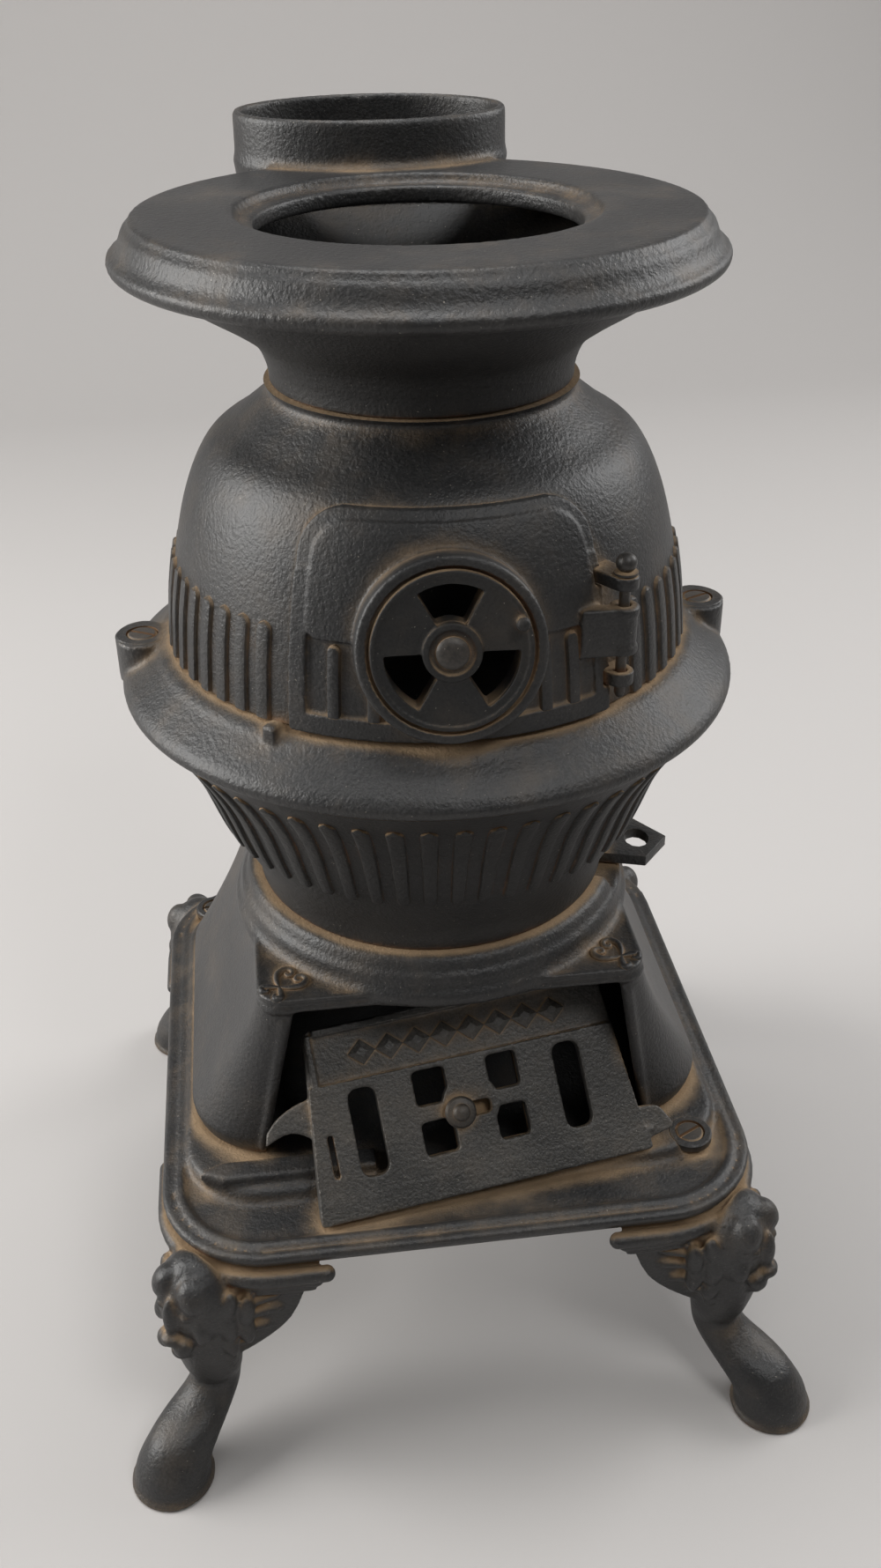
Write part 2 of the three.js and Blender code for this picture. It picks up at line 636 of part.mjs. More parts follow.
// A leg for the front right corner: [height, distance out from the stove's axis, half length, half width].
const LEG_SECTIONS = [
  [0, 130.5, 11.6, 11.6], [3, 130.5, 12, 12], [8.5, 128.6, 12.3, 11], [16, 119.7, 14.8, 9],
  [21, 111.5, 10, 8], [26, 108.6, 7.6, 7.6], [32, 109.5, 8.5, 9], [42, 112, 11, 10.5],
  [56, 112.8, 13.2, 12], [64, 112.8, 12.6, 12.6], [72, 112.8, 9.6, 12],
  [77, 113, 6, 9.4], [80.4, 112.9, 1.8, 4],
];

const TAB = 6; // thickness of the leg's tab under the base

// The bracket wing under one side of the base, drawn as seen from outside, with x along that side.
function wingOutline(near, far) {
  const wing = new THREE.Shape([[near, BASE.bottom - GAP], [near + 3.9, 64]].map(vector));
  wing.quadraticCurveTo(near + 8, 46, far - 12, 34);
  wing.lineTo(far, 32);
  wing.lineTo(far, BASE.bottom - GAP);
  return wing;
}

function leg({ name, side, end, screw: at }) {
  const top = BASE.bottom - GAP;
  const outwards = Math.atan2(-FOOT.y, FOOT.x);
  const column = loft(
    LEG_SECTIONS.map(([z, out, along, across]) => ({
      z,
      outline: ellipse(out * Math.cos(outwards), out * Math.sin(outwards), along, across, outwards),
    })),
  );
  const frontWing = upright(wingOutline(41.5, 78), -84.5, -79.5, 4);
  const sideWing = upright(wingOutline(44, 80), -82, -77, 4).transform(
    new THREE.Matrix4().makeRotationZ(Math.PI / 2).elements,
  ).mirror([0, 1, 0]);
  const tab = block(58, 80, -81, -53, top - TAB, top);
  const room = loft([top, BASE.deck + PAST].map((z) => ({ z, outline: baseOutline(0.5) })));
  const hole = rod(at.x, -at.y, top - TAB - 1, top + 1, SCREW.hole, 10);
  const nutRoom = rod(at.x, -at.y, top - TAB - 14, top - TAB, SCREW.nut + 1.4, 10);
  const made = cut(joined(column, frontWing, sideWing, tab), room, hole, nutRoom);
  const mesh = piece(`leg_${name}`, made, BLACK_IRON);
  mesh.scale.set(side, end, 1);
  return mesh;
}

function legFastener({ name, side, end, screw: at, blind }) {
  const x = side * at.x;
  const y = -end * at.y;
  const tabFoot = BASE.bottom - GAP - TAB;
  if (!blind) return fastened(`leg_${name}`, x, y, BASE.deck, tabFoot);
  const upward = placed(screw(`leg_${name}_screw`, BASE.deck - 1.5 - tabFoot), x, y, tabFoot - GAP);
  upward.rotation.x = Math.PI;
  return [upward];
}

const legs = () => LEGS.flatMap((place) => [leg(place), ...legFastener(place)]);

// ---------------------------------------------------------------- ash door

// The door narrows upwards about its middle; x runs along the door and z up it.
function ashDoorShape(height, topHalf, corner) {
  const { middle, footHalf } = ASH_PANEL;
  const half = [[footHalf, 0], [topHalf, height - corner], [topHalf - corner, height]];
  return outline([
    ...half.map(([x, z]) => [middle + x, z]),
    ...half.reverse().map(([x, z]) => [middle - x, z]),
  ]);
}

// A window cut through the door and whatever lies behind it.
const windowCut = ([x0, x1, z0, z1]) => block(x0, x1, -PAST, 3 * PAST, z0, z1);

const DOOR_WINDOWS = [[31.3, 40.9, 26, 36], [53, 61.9, 26, 36], [31.3, 40.9, 12, 21.5], [53, 61.9, 12, 21.5]];
const DOOR_SLOTS = [[4.8, 6.4, 12, 24], [12.5, 20.5, 10.5, 35], [72.5, 80.5, 10.5, 35]];

function ashDoor() {
  const { thick, height, middle, topHalf, band, bandHalf, raised } = ASH_PANEL;
  const knobSlot = [SLIDE_KNOB.x - 2, SLIDE_KNOB.x + SLIDE.travel + 2, SLIDE_KNOB.z - 2, SLIDE_KNOB.z + 2];
  const { x, z, radius } = KNOB_BOSS;
  const boss = upright(new THREE.Shape(ellipse(x, z, radius, radius)), -2 * PAST, 4 * PAST);
  const windows = [
    ...DOOR_WINDOWS.map((hole) => cut(windowCut(hole), boss)),
    ...[...DOOR_SLOTS, knobSlot].map(windowCut),
  ];
  const panel = upright(ashDoorShape(height, topHalf, ASH_PANEL.corner), 0, thick);
  const face = upright(ashDoorShape(band, bandHalf, 0.4), -raised, 1);
  const lip = block(middle - 48, middle + 48, -1.6, 1, 0, 8);
  const rim = block(middle - topHalf + 3, middle + topHalf - 3, -raised, 1, height - 2, height);
  const hook = upright(outline([[3, 22], [3, 35], [-7.5, 31.5], [-12, 25], [-6, 27], [-1.5, 26]]), 0, thick);
  const ear = upright(outline([[91, 12.5], [91, 3], [96, 5], [104, 4.5], [100, 11.8]]), 0, thick);
  const rails = [
    { foot: [SLIDE.bottom - 2, SLIDE.bottom - GAP], lip: [SLIDE.bottom - 2, SLIDE.bottom + 1.4] },
    { foot: [SLIDE.top + GAP, SLIDE.top + 2.5], lip: [SLIDE.top - 1.4, SLIDE.top + 2.5] },
  ].flatMap(({ foot, lip: hold }) => [
    block(SLIDE.left - 1, SLIDE.right + 8, thick - 0.5, thick + 2.2, ...foot),
    block(SLIDE.left - 1, SLIDE.right + 8, thick + 2.2 - 0.1, thick + 3.2, ...hold),
  ]);
  const footCut = block(-20, 120, -10, 20, -20, 0).rotate([-ASH_DOOR.lean, 0, 0]);
  const made = cut(joined(panel, face, lip, rim, hook, ear, ...rails), footCut, ...windows);
  return piece("ash_door", made, BLACK_IRON);
}

// The plate behind the door that opens and shuts its windows.
function draftSlide() {
  const { left, right, bottom, top, thick } = SLIDE;
  const front = ASH_PANEL.thick + GAP;
  const round = new THREE.Shape(ellipse(SLIDE_KNOB.x, SLIDE_KNOB.z, 2, 2));
  const knobHole = upright(round, front - 1, front + thick + 1);
  const plate = block(left, right, front, front + thick, bottom, top);
  return piece("draft_slide", cut(plate, ...DOOR_WINDOWS.map(windowCut), knobHole), FIRED_IRON);
}

function slideKnob() {
  const { radius, stem } = SLIDE_KNOB;
  const back = ASH_PANEL.thick + 2 * GAP + SLIDE.thick;
  const face = ASH_PANEL.raised + GAP;
  const made = turned([
    [0, face + 4.9], [radius * 0.6, face + 4.3], [radius, face + 2.1], [radius * 0.7, face], [stem, face],
    [stem, -back], [3, -back], [2.4, -back - 1.4], [0, -back - 1.4],
  ], 16);
  const knob = piece("slide_knob", made, BLACK_IRON);
  knob.rotation.x = Math.PI / 2;
  return placed(knob, SLIDE_KNOB.x, 0, SLIDE_KNOB.z);
}

// ---------------------------------------------------------------- assembly

function feedDoorGroup() {
  const swing = new THREE.Group();
  swing.position.set(HINGE.x, HINGE.y, 0);
  const wheel = new THREE.Group();
  wheel.position.set(WHEEL.x - HINGE.x, WHEEL.y - HINGE.y, WHEEL.z);
  wheel.rotation.copy(wheelTurn);
  wheel.add(draftWheel(), draftRivet());
  swing.add(feedDoor(), wheel);
  return swing;
}

function ashDoorGroup() {
  const lean = new THREE.Group();
  lean.position.set(ASH_DOOR.x, ASH_DOOR.y, ASH_DOOR.z);
  lean.rotation.set(radians(ASH_DOOR.lean), radians(ASH_DOOR.roll), radians(ASH_DOOR.yaw), "ZXY");
  lean.add(ashDoor(), draftSlide(), slideKnob());
  return lean;
}

const stove = new THREE.Group();
stove.name = "potbelly_stove";
stove.add(topPlate(), throatRing(), fireDome(), placed(hingePin(), HINGE.x, HINGE.y, 0));
stove.add(feedDoorGroup());
stove.add(bellyRing(), firePot());
stove.add(...fastened("ring_right", EAR.x, EAR.y, EAR.top, POT_TOP - EAR.drop));
stove.add(...fastened("ring_left", -EAR.x, EAR.y, EAR.top, POT_TOP - EAR.drop));
stove.add(grate(), shakerBar(), gratePivot());
stove.add(ashPit(), basePlate(), ...legs());
stove.add(ashDoorGroup());

export default stove;
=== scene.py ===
# %% [markdown]
# # A cast-iron potbelly stove
# The stove is a stack of sand castings, held together by a few slotted screws. The construction is loaded
# first, and stays where it is. Each casting is then modelled again round it with soft edges, ribs,
# mouldings and masks, and gets a black iron finish with dust and rust in its corners.

# %% Load the construction
import json
import math

import bmesh
import bpy
import numpy as np
from mathutils import Euler, Matrix, Vector

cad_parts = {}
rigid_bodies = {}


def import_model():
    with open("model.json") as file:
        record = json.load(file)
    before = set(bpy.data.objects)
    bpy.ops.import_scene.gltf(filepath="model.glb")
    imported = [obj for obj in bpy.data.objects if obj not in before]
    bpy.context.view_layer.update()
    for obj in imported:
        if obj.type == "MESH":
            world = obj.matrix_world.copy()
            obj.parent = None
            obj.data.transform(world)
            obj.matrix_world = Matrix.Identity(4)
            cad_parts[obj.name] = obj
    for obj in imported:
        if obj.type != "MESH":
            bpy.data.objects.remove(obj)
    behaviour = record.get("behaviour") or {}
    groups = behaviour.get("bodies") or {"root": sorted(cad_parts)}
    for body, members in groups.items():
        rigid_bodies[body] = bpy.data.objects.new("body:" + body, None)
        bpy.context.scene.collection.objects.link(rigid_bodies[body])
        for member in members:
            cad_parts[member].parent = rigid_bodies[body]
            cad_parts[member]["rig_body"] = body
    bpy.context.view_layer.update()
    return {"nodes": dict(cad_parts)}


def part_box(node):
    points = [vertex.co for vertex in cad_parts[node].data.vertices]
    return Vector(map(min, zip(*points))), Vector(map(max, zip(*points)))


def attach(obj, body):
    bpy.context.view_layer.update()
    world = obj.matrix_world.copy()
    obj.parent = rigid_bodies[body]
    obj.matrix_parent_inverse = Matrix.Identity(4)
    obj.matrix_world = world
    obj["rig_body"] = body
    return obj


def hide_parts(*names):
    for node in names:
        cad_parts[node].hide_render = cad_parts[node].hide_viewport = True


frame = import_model()
nodes = frame["nodes"]
scene = bpy.context.scene

# %% [markdown]
# ## Drawing tools
# A solid is kept as a list of corner points and a list of faces, in millimetres, until it is finished.
# That makes it easy to turn, push, sweep and join outlines in plain Python before Blender rounds and
# remeshes them.

# %% Outlines
MM = 0.001


def catmull(points, count):
    """A smooth line of count + 1 points through a few points of any dimension."""
    line = np.array([points[0], *points, points[-1]], float)
    spans = len(points) - 1
    made = []
    for i in range(count + 1):
        at = min(i * spans / count, spans - 1e-9)
        k = int(at)
        t = at - k
        a, b, c, d = line[k : k + 4]
        bend, twist = 2 * a - 5 * b + 4 * c - d, 3 * b - a - 3 * c + d
        made.append(0.5 * (2 * b + (c - a) * t + bend * t**2 + twist * t**3))
    return [tuple(p) for p in made]


def eased(points, radius, steps=3):
    """A closed outline with each corner rounded by up to radius."""
    line = [np.array(p, float) for p in points]
    made = []
    for i, here in enumerate(line):
        before, after = line[i - 1], line[(i + 1) % len(line)]
        back, on = before - here, after - here
        reach_back = min(radius, 0.45 * np.linalg.norm(back))
        reach_on = min(radius, 0.45 * np.linalg.norm(on))
        start = here + back / max(np.linalg.norm(back), 1e-9) * reach_back
        end = here + on / max(np.linalg.norm(on), 1e-9) * reach_on
        for k in range(steps + 1):
            t = k / steps
            made.append(tuple((1 - t) ** 2 * start + 2 * t * (1 - t) * here + t * t * end))
    return made


def wall(outer, thick):
    """The closed section of a wall, from an outline read from the top down."""
    line = np.array(outer, float)
    along = np.gradient(line, axis=0)
    along /= np.linalg.norm(along, axis=1)[:, None]
    inner = line + np.stack([along[:, 1], -along[:, 0]], 1) * thick
    inner[:, 1] = np.clip(inner[:, 1], line[-1, 1], line[0, 1])
    return [tuple(p) for p in line] + [tuple(p) for p in inner[::-1]]


def round_corners(left, right, front, back, corner, steps=8):
    """A level rectangle with round corners."""
    centres = [(right - corner, back - corner), (left + corner, back - corner),
               (left + corner, front + corner), (right - corner, front + corner)]
    return [
        (x + corner * math.cos(a), y + corner * math.sin(a))
        for quarter, (x, y) in enumerate(centres)
        for a in ((quarter + k / steps) * math.pi / 2 for k in range(steps + 1))
    ]


def oval(x, y, along, across, turn=0.0, count=48):
    """An ellipse with its first half-axis turned by an angle."""
    c, s = math.cos(turn), math.sin(turn)
    made = []
    for i in range(count):
        u = along * math.cos(2 * math.pi * i / count)
        v = across * math.sin(2 * math.pi * i / count)
        made.append((x + c * u - s * v, y + s * u + c * v))
    return made


def rectangle(x0, x1, z0, z1):
    return [(x0, z0), (x1, z0), (x1, z1), (x0, z1)]


def radius_at(profile, z):
    """The radius of a top-down outline at a height."""
    line = np.array(profile, float)[::-1]
    return float(np.interp(z, line[:, 1], line[:, 0]))


# %% Solids
def turned(profile, steps=180, centre=(0.0, 0.0)):
    """A closed outline of radius and height, turned about the upright axis."""
    count = len(profile)
    points = [
        (centre[0] + r * math.cos(a), centre[1] + r * math.sin(a), z)
        for a in (2 * math.pi * i / steps for i in range(steps))
        for r, z in profile
    ]
    faces = []
    for i in range(steps):
        here, there = i * count, (i + 1) % steps * count
        for k in range(count):
            after = (k + 1) % count
            if profile[k][0] > 0 or profile[after][0] > 0:
                faces.append((here + k, there + k, there + after, here + after))
    return points, faces


def rod(radius, low, high, steps=24, centre=(0.0, 0.0)):
    """An upright round bar."""
    return turned([(0, low), (radius, low), (radius, high), (0, high)], steps, centre)


def lofted(sections):
    """Outlines of equal counts at their heights, joined and capped."""
    count = len(sections[0][1])
    points = [(x, y, z) for z, outline in sections for x, y in outline]
    faces = [
        (s * count + i, s * count + (i + 1) % count, (s + 1) * count + (i + 1) % count, (s + 1) * count + i)
        for s in range(len(sections) - 1)
        for i in range(count)
    ]
    last = (len(sections) - 1) * count
    faces.append(tuple(reversed(range(count))))
    faces.append(tuple(last + i for i in range(count)))
    return points, faces


def swept(path, radii, sides=12):
    """A round bar along a path, with a radius at each point."""
    line = np.array(path, float)
    along = np.gradient(line, axis=0)
    along /= np.linalg.norm(along, axis=1)[:, None]
    side = np.cross(along[0], (0, 0, 1) if abs(along[0][2]) < 0.9 else (1, 0, 0))
    points, faces = [], []
    for at, direction, radius in zip(line, along, radii):
        side = side - direction * (side @ direction)
        side /= np.linalg.norm(side)
        up = np.cross(side, direction)
        for i in range(sides):
            a = 2 * math.pi * i / sides
            points.append(tuple(at + radius * (math.cos(a) * side + math.sin(a) * up)))
    for s in range(len(line) - 1):
        for i in range(sides):
            a, b = s * sides + i, s * sides + (i + 1) % sides
            faces.append((a, b, b + sides, a + sides))
    last = (len(line) - 1) * sides
    faces.append(tuple(reversed(range(sides))))
    faces.append(tuple(last + i for i in range(sides)))
    return points, faces


def pebble(centre, radii, axes=None, rings=12, sides=18):
    """An ellipsoid; axes are the unit vectors of its three radii."""
    frame_of = np.eye(3) if axes is None else np.array(axes, float)
    points = [tuple(np.array(centre) + frame_of[2] * radii[2])]
    for j in range(1, rings):
        lift = math.pi * j / rings
        for i in range(sides):
            a = 2 * math.pi * i / sides
            local = (math.sin(lift) * math.cos(a), math.sin(lift) * math.sin(a), math.cos(lift))
            points.append(tuple(np.array(centre) + sum(frame_of[k] * radii[k] * local[k] for k in range(3))))
    points.append(tuple(np.array(centre) - frame_of[2] * radii[2]))
    faces = [(0, 1 + i, 1 + (i + 1) % sides) for i in range(sides)]
    for j in range(rings - 2):
        for i in range(sides):
            a, b = 1 + j * sides + i, 1 + j * sides + (i + 1) % sides
            faces.append((a, a + sides, b + sides, b))
    end = len(points) - 1
    start = 1 + (rings - 2) * sides
    faces += [(end, start + (i + 1) % sides, start + i) for i in range(sides)]
    return points, faces


def pushed(outline, y0, y1):
    """An outline drawn as seen from the front, pushed back from y0 to y1."""
    count = len(outline)
    points = [(x, y, z) for y in (y0, y1) for x, z in outline]
    faces = [(i, (i + 1) % count, (i + 1) % count + count, i + count) for i in range(count)]
    faces += [tuple(reversed(range(count))), tuple(range(count, 2 * count))]
    return points, faces


def block(x0, x1, y0, y1, z0, z1):
    return lofted([(z, rectangle(x0, x1, y0, y1)) for z in (z0, z1)])


def moved(solid, matrix):
    return [tuple(matrix @ Vector(p)) for p in solid[0]], solid[1]


def joined(solids):
    points, faces = [], []
    for some_points, some_faces in solids:
        start = len(points)
        points += list(some_points)
        faces += [tuple(i + start for i in face) for face in some_faces]
    return points, faces


# %% Meshes
def as_mesh(name, solid):
    """The solid as a mesh in metres, with doubles merged and its faces pointing outwards."""
    mesh = bpy.data.meshes.new(name)
    mesh.from_pydata([(x * MM, y * MM, z * MM) for x, y, z in solid[0]], [], solid[1])
    work = bmesh.new()
    work.from_mesh(mesh)
    bmesh.ops.remove_doubles(work, verts=work.verts, dist=1e-7)
    bmesh.ops.recalc_face_normals(work, faces=work.faces)
    work.to_mesh(mesh)
    work.free()
    return mesh


def as_object(name, mesh):
    obj = bpy.data.objects.new(name, mesh)
    scene.collection.objects.link(obj)
    return obj


def shaped(name, solid):
    return as_object(name, as_mesh(name, solid))


def smooth(obj, crease=None):
    """Shades the mesh smooth, but for edges that turn by more than the crease angle in degrees."""
    obj.data.polygons.foreach_set("use_smooth", [True] * len(obj.data.polygons))
    if crease:
        obj.data.set_sharp_from_angle(angle=math.radians(crease))
    return obj


def baked(obj):
    """Turns what the modifiers make into the object's own plain mesh."""
    bpy.context.view_layer.update()
    made = bpy.data.meshes.new_from_object(obj.evaluated_get(bpy.context.evaluated_depsgraph_get()))
    obj.modifiers.clear()
    obj.data = made
    made.name = obj.name
    return obj


def cut(solid, *cutters):
    """The solid with the cutters taken away."""
    obj = shaped("being_cut", solid)
    tools = [shaped("cutter", cutter) for cutter in cutters]
    for tool in tools:
        modifier = obj.modifiers.new("cut", "BOOLEAN")
        modifier.operation = "DIFFERENCE"
        modifier.solver = "EXACT"
        modifier.object = tool
    baked(obj)
    points = [tuple(v.co / MM) for v in obj.data.vertices]
    faces = [tuple(p.vertices) for p in obj.data.polygons]
    for used in [obj, *tools]:
        bpy.data.objects.remove(used)
    return points, faces


def casting(name, solids, voxel=0.6, rounds=3):
    """Overlapping solids melted into one casting with soft edges."""
    obj = shaped(name, joined(solids))
    melt = obj.modifiers.new("melt", "REMESH")
    melt.mode = "VOXEL"
    melt.voxel_size = voxel * MM
    soften = obj.modifiers.new("soften", "SMOOTH")
    soften.factor = 0.5
    soften.iterations = rounds
    smooth(baked(obj))
    print(name, len(obj.data.polygons), "faces")
    return obj


def plain(name, solid):
    """A solid kept as it was drawn, shaded smooth but for its creases."""
    obj = smooth(shaped(name, solid), 35)
    print(name, len(obj.data.polygons), "faces")
    return obj


# %% [markdown]
# ## A small language for nodes
# Materials and Geometry Nodes are written as expressions. A Field wraps a socket, and adding or
# multiplying two of them puts a Math node in the tree. Every other node comes from Graph.node.

# %% Fields
class Field:
    """A socket that can be added, multiplied and so on."""

    def __init__(self, graph, socket):
        self.graph = graph
        self.socket = socket

    def __add__(self, other):
        return self.graph.math("ADD", self, other)

    def __sub__(self, other):
        return self.graph.math("SUBTRACT", self, other)

    def __rsub__(self, other):
        return self.graph.math("SUBTRACT", other, self)

    def __mul__(self, other):
        return self.graph.math("MULTIPLY", self, other)

    __radd__ = __add__
    __rmul__ = __mul__


# %% Graphs
class Graph:
    """Adds nodes to a tree."""

    def __init__(self, tree):
        self.tree = tree

    def node(self, kind, settings=None, inputs=None, output=0):
        """A node of that kind with its settings made first, then its values and links."""
        node = self.tree.nodes.new(kind)
        for name, value in (settings or {}).items():
            setattr(node, name, value)
        for name, value in (inputs or {}).items():
            if isinstance(value, Field):
                self.tree.links.new(value.socket, node.inputs[name])
            else:
                node.inputs[name].default_value = value
        return Field(self, node.outputs[output])

    def math(self, operation, *values):
        return self.node("ShaderNodeMath", {"operation": operation}, dict(enumerate(values)))

    def step(self, value, low, high):
        """0 below low, 1 above high and a soft rise between."""
        inputs = {"Value": value, "From Min": low, "From Max": high}
        return self.node("ShaderNodeMapRange", {"interpolation_type": "SMOOTHSTEP"}, inputs)

    def noise(self, place, scale, detail=3.0, roughness=0.55):
        inputs = {"Vector": place, "Scale": scale, "Detail": detail, "Roughness": roughness}
        return self.node("ShaderNodeTexNoise", None, inputs)

    def blend(self, amount, first, second):
        """Colour first, going over to second."""
        return self.node("ShaderNodeMix", {"data_type": "RGBA"}, {0: amount, 6: first, 7: second}, 2)


# %% [markdown]
# ## The iron
# Old stove black is a thin satin coat on a pebbly casting. Dust lies where a brush does not reach: in
# inner corners and on what faces up. Rust breaks through in the same corners. An ambient occlusion node
# finds the corners, and the surface normal says what faces up.

# %% Iron finishes
BLACK = (0.0135, 0.0135, 0.014, 1)
WORN = (0.036, 0.035, 0.034, 1)
DUST = (0.34, 0.235, 0.135, 1)
RUST = (0.19, 0.078, 0.03, 1)


def iron(name, base=BLACK, worn=WORN, dust_share=1.0, rust_share=1.0, rough=0.46, grain=1.0):
    """Cast iron with stove black, dust and rust."""
    material = bpy.data.materials.new(name)
    material.use_nodes = True
    graph = Graph(material.node_tree)
    shader = material.node_tree.nodes["Principled BSDF"]
    place = graph.node("ShaderNodeTexCoord", output=3)
    corner = 1 - graph.node("ShaderNodeAmbientOcclusion", {"samples": 6}, {"Distance": 0.007}, 1)
    tight = 1 - graph.node("ShaderNodeAmbientOcclusion", {"samples": 6}, {"Distance": 0.003}, 1)
    normal = graph.node("ShaderNodeNewGeometry", output=1)
    up = graph.node("ShaderNodeSeparateXYZ", None, {0: normal}, 2)
    cloud = graph.noise(place, 38, 4)
    patch = graph.noise(place, 95, 5, 0.65)
    fine = graph.noise(place, 1500, 3, 0.6)
    pebbles = graph.noise(place, 820, 2, 0.5)

    lying = graph.step(up, -0.35, 0.75)
    dusty = graph.step(corner * (0.5 + 0.8 * lying) + 0.45 * patch, 0.40, 0.74) * (0.3 + 0.7 * lying)
    thin_dust = lying * graph.step(patch * 0.6 + cloud * 0.5, 0.5, 0.75) * 0.07
    dust = graph.math("MINIMUM", (dusty * 0.9 + thin_dust) * dust_share, 1.0)
    rusty_places = graph.step(cloud, 0.40, 0.56) * rust_share
    rust = graph.step(tight * 0.8 + patch * 0.55, 0.52, 0.76) * rusty_places * 0.85
    specks = graph.step(graph.noise(place, 1700, 1), 0.755, 0.79) * 0.5 * dust_share

    coat = graph.blend(graph.step(cloud * 0.5 + fine * 0.5, 0.35, 0.68), base, worn)
    rusty = graph.blend(rust, coat, RUST)
    dusted = graph.blend(dust, rusty, DUST)
    colour = graph.blend(specks, dusted, (0.42, 0.38, 0.32, 1))
    roughness = rough + 0.1 * (fine - 0.5) + 0.14 * (cloud - 0.5) + 0.38 * dust + 0.3 * rust
    height = pebbles * 0.6 + fine * 0.4 + patch * 0.1 + rust * fine * 0.5
    bump = graph.node("ShaderNodeBump", None, {"Strength": 0.5 * grain, "Distance": 0.0007, "Height": height})
    tree = material.node_tree
    tree.links.new(colour.socket, shader.inputs["Base Color"])
    tree.links.new(roughness.socket, shader.inputs["Roughness"])
    tree.links.new(bump.socket, shader.inputs["Normal"])
    shader.inputs["Metallic"].default_value = 0.25
    shader.inputs["Specular IOR Level"].default_value = 0.6
    return material


BLACK_IRON = iron("black_iron")
DOOR_IRON = iron("door_iron", dust_share=0.8, rust_share=0.6, rough=0.5)
ASH_IRON = iron("ash_door_iron", base=(0.028, 0.027, 0.025, 1), worn=(0.082, 0.076, 0.068, 1), dust_share=0.9)
DEEP_IRON = iron("deep_black_iron", base=(0.007, 0.007, 0.007, 1), worn=(0.02, 0.019, 0.018, 1), rough=0.6)
INNER_IRON = iron("fired_iron", base=(0.02, 0.014, 0.011, 1), worn=(0.06, 0.034, 0.02, 1), rough=0.75)
STEEL = iron("dark_steel", base=(0.024, 0.022, 0.02, 1), worn=(0.06, 0.052, 0.044, 1), rough=0.48, grain=0.4)


def finish_piece(obj, *replaced, material=BLACK_IRON, body="stove", slot="black_iron"):
    """Gives a piece its finish and makes it move with its body."""
    obj.data.materials.clear()
    obj.data.materials.append(material)
    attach(obj, body)
    if replaced:
        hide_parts(*replaced)
    return obj


# %% [markdown]
# ## Top plate and flue collar
# The plate is one casting: a round hotplate with a moulded skirt, an open eye with a ledge for a lid, and
# an oval flue collar on a lobe behind. It is turned and lofted as solids, which are then melted together,
# so that the collar meets the plate with a small fillet as in a sand mould.

# %% Top plate
TOP = 328.5
PLATE_SECTION = eased([
    (39, 321.6), (39, 326), (43.2, 326), (43.2, TOP), (67, TOP), (67.7, 327.9), (67.6, 326.8), (69.2, 326.2),
    (69.9, 324.4), (70.7, 322.4), (72, 321), (73.3, 320.4), (73.6, 319.2), (73.2, 317.8), (71.4, 316.6),
    (66.9, 316.6), (66.9, 325.4), (44.4, 325.4), (44.4, 321.6),
], 0.35, 2)
COLLAR_X, COLLAR_Y = -4.2, 78.0


def collar_oval(grow):
    return oval(COLLAR_X, COLLAR_Y, 37.5 + grow, 28 + grow, count=96)


def oval_ring(levels, inner):
    """A ring between an outer outline that changes with height and a straight inner one."""
    outside = lofted([(z, collar_oval(grow)) for z, grow in levels])
    inside = lofted([(z, collar_oval(inner)) for z in (levels[0][0] - 1, levels[-1][0] + 1)])
    return cut(outside, inside)


flue = lofted([(z, collar_oval(-2.4)) for z in (319.5, 345)])
plate_disc = cut(turned(PLATE_SECTION, 200), flue)
lobe_levels = ((316.6, -2), (319, -0.2), (327.4, 0.5), (328.4, 0.2))
lobe_outside = lofted([(z, collar_oval(grow)) for z, grow in lobe_levels])
lobe = cut(lobe_outside, flue, rod(66.9, 310, 325.4, 120))
collar = oval_ring([(327.4, 0.8), (328.6, 0.5), (330, 0.1), (339.6, 0), (340.4, -0.5)], -2.2)
top_plate = casting("top_plate_casting", [plate_disc, lobe, collar], 0.85, 3)
finish_piece(top_plate, "top_plate")

# %% [markdown]
# ## Throat, dome, ring and pot
# These are turned shapes, so one outline each is enough. The outline goes round the axis in many steps,
# which keeps the silhouette smooth, and corners are eased a little, as a moulder would.

# %% Turned castings
THROAT = catmull([(64.6, 316), (57.2, 310.5), (47.5, 304.5), (41, 299.5), (38.3, 294), (37.7, 289.4)], 26)
DOME = catmull([
    (39.2, 289), (38.9, 286.4), (46.7, 280), (55.2, 273.5), (61.6, 260), (66.2, 240), (68, 222.8),
], 40)
POT = catmull([(80.8, 208.5), (72.3, 199), (65.6, 187), (59.7, 171), (51.9, 155), (50.2, 147.5)], 40)
throat_inside = [(r - 3.4, z + 1.6) for r, z in reversed(THROAT[:-3])]
THROAT_SECTION = [(66, 325), (66, 316.8), *THROAT, (34.8, 289.4), *throat_inside, (62.4, 325)]
flue_notch = block(COLLAR_X - 26, COLLAR_X + 26, 0, 70, 318, 330)
throat_ring = plain("throat_casting", cut(turned(eased(THROAT_SECTION, 0.3, 2), 160), flue_notch))
finish_piece(throat_ring, "throat_ring", material=DEEP_IRON)

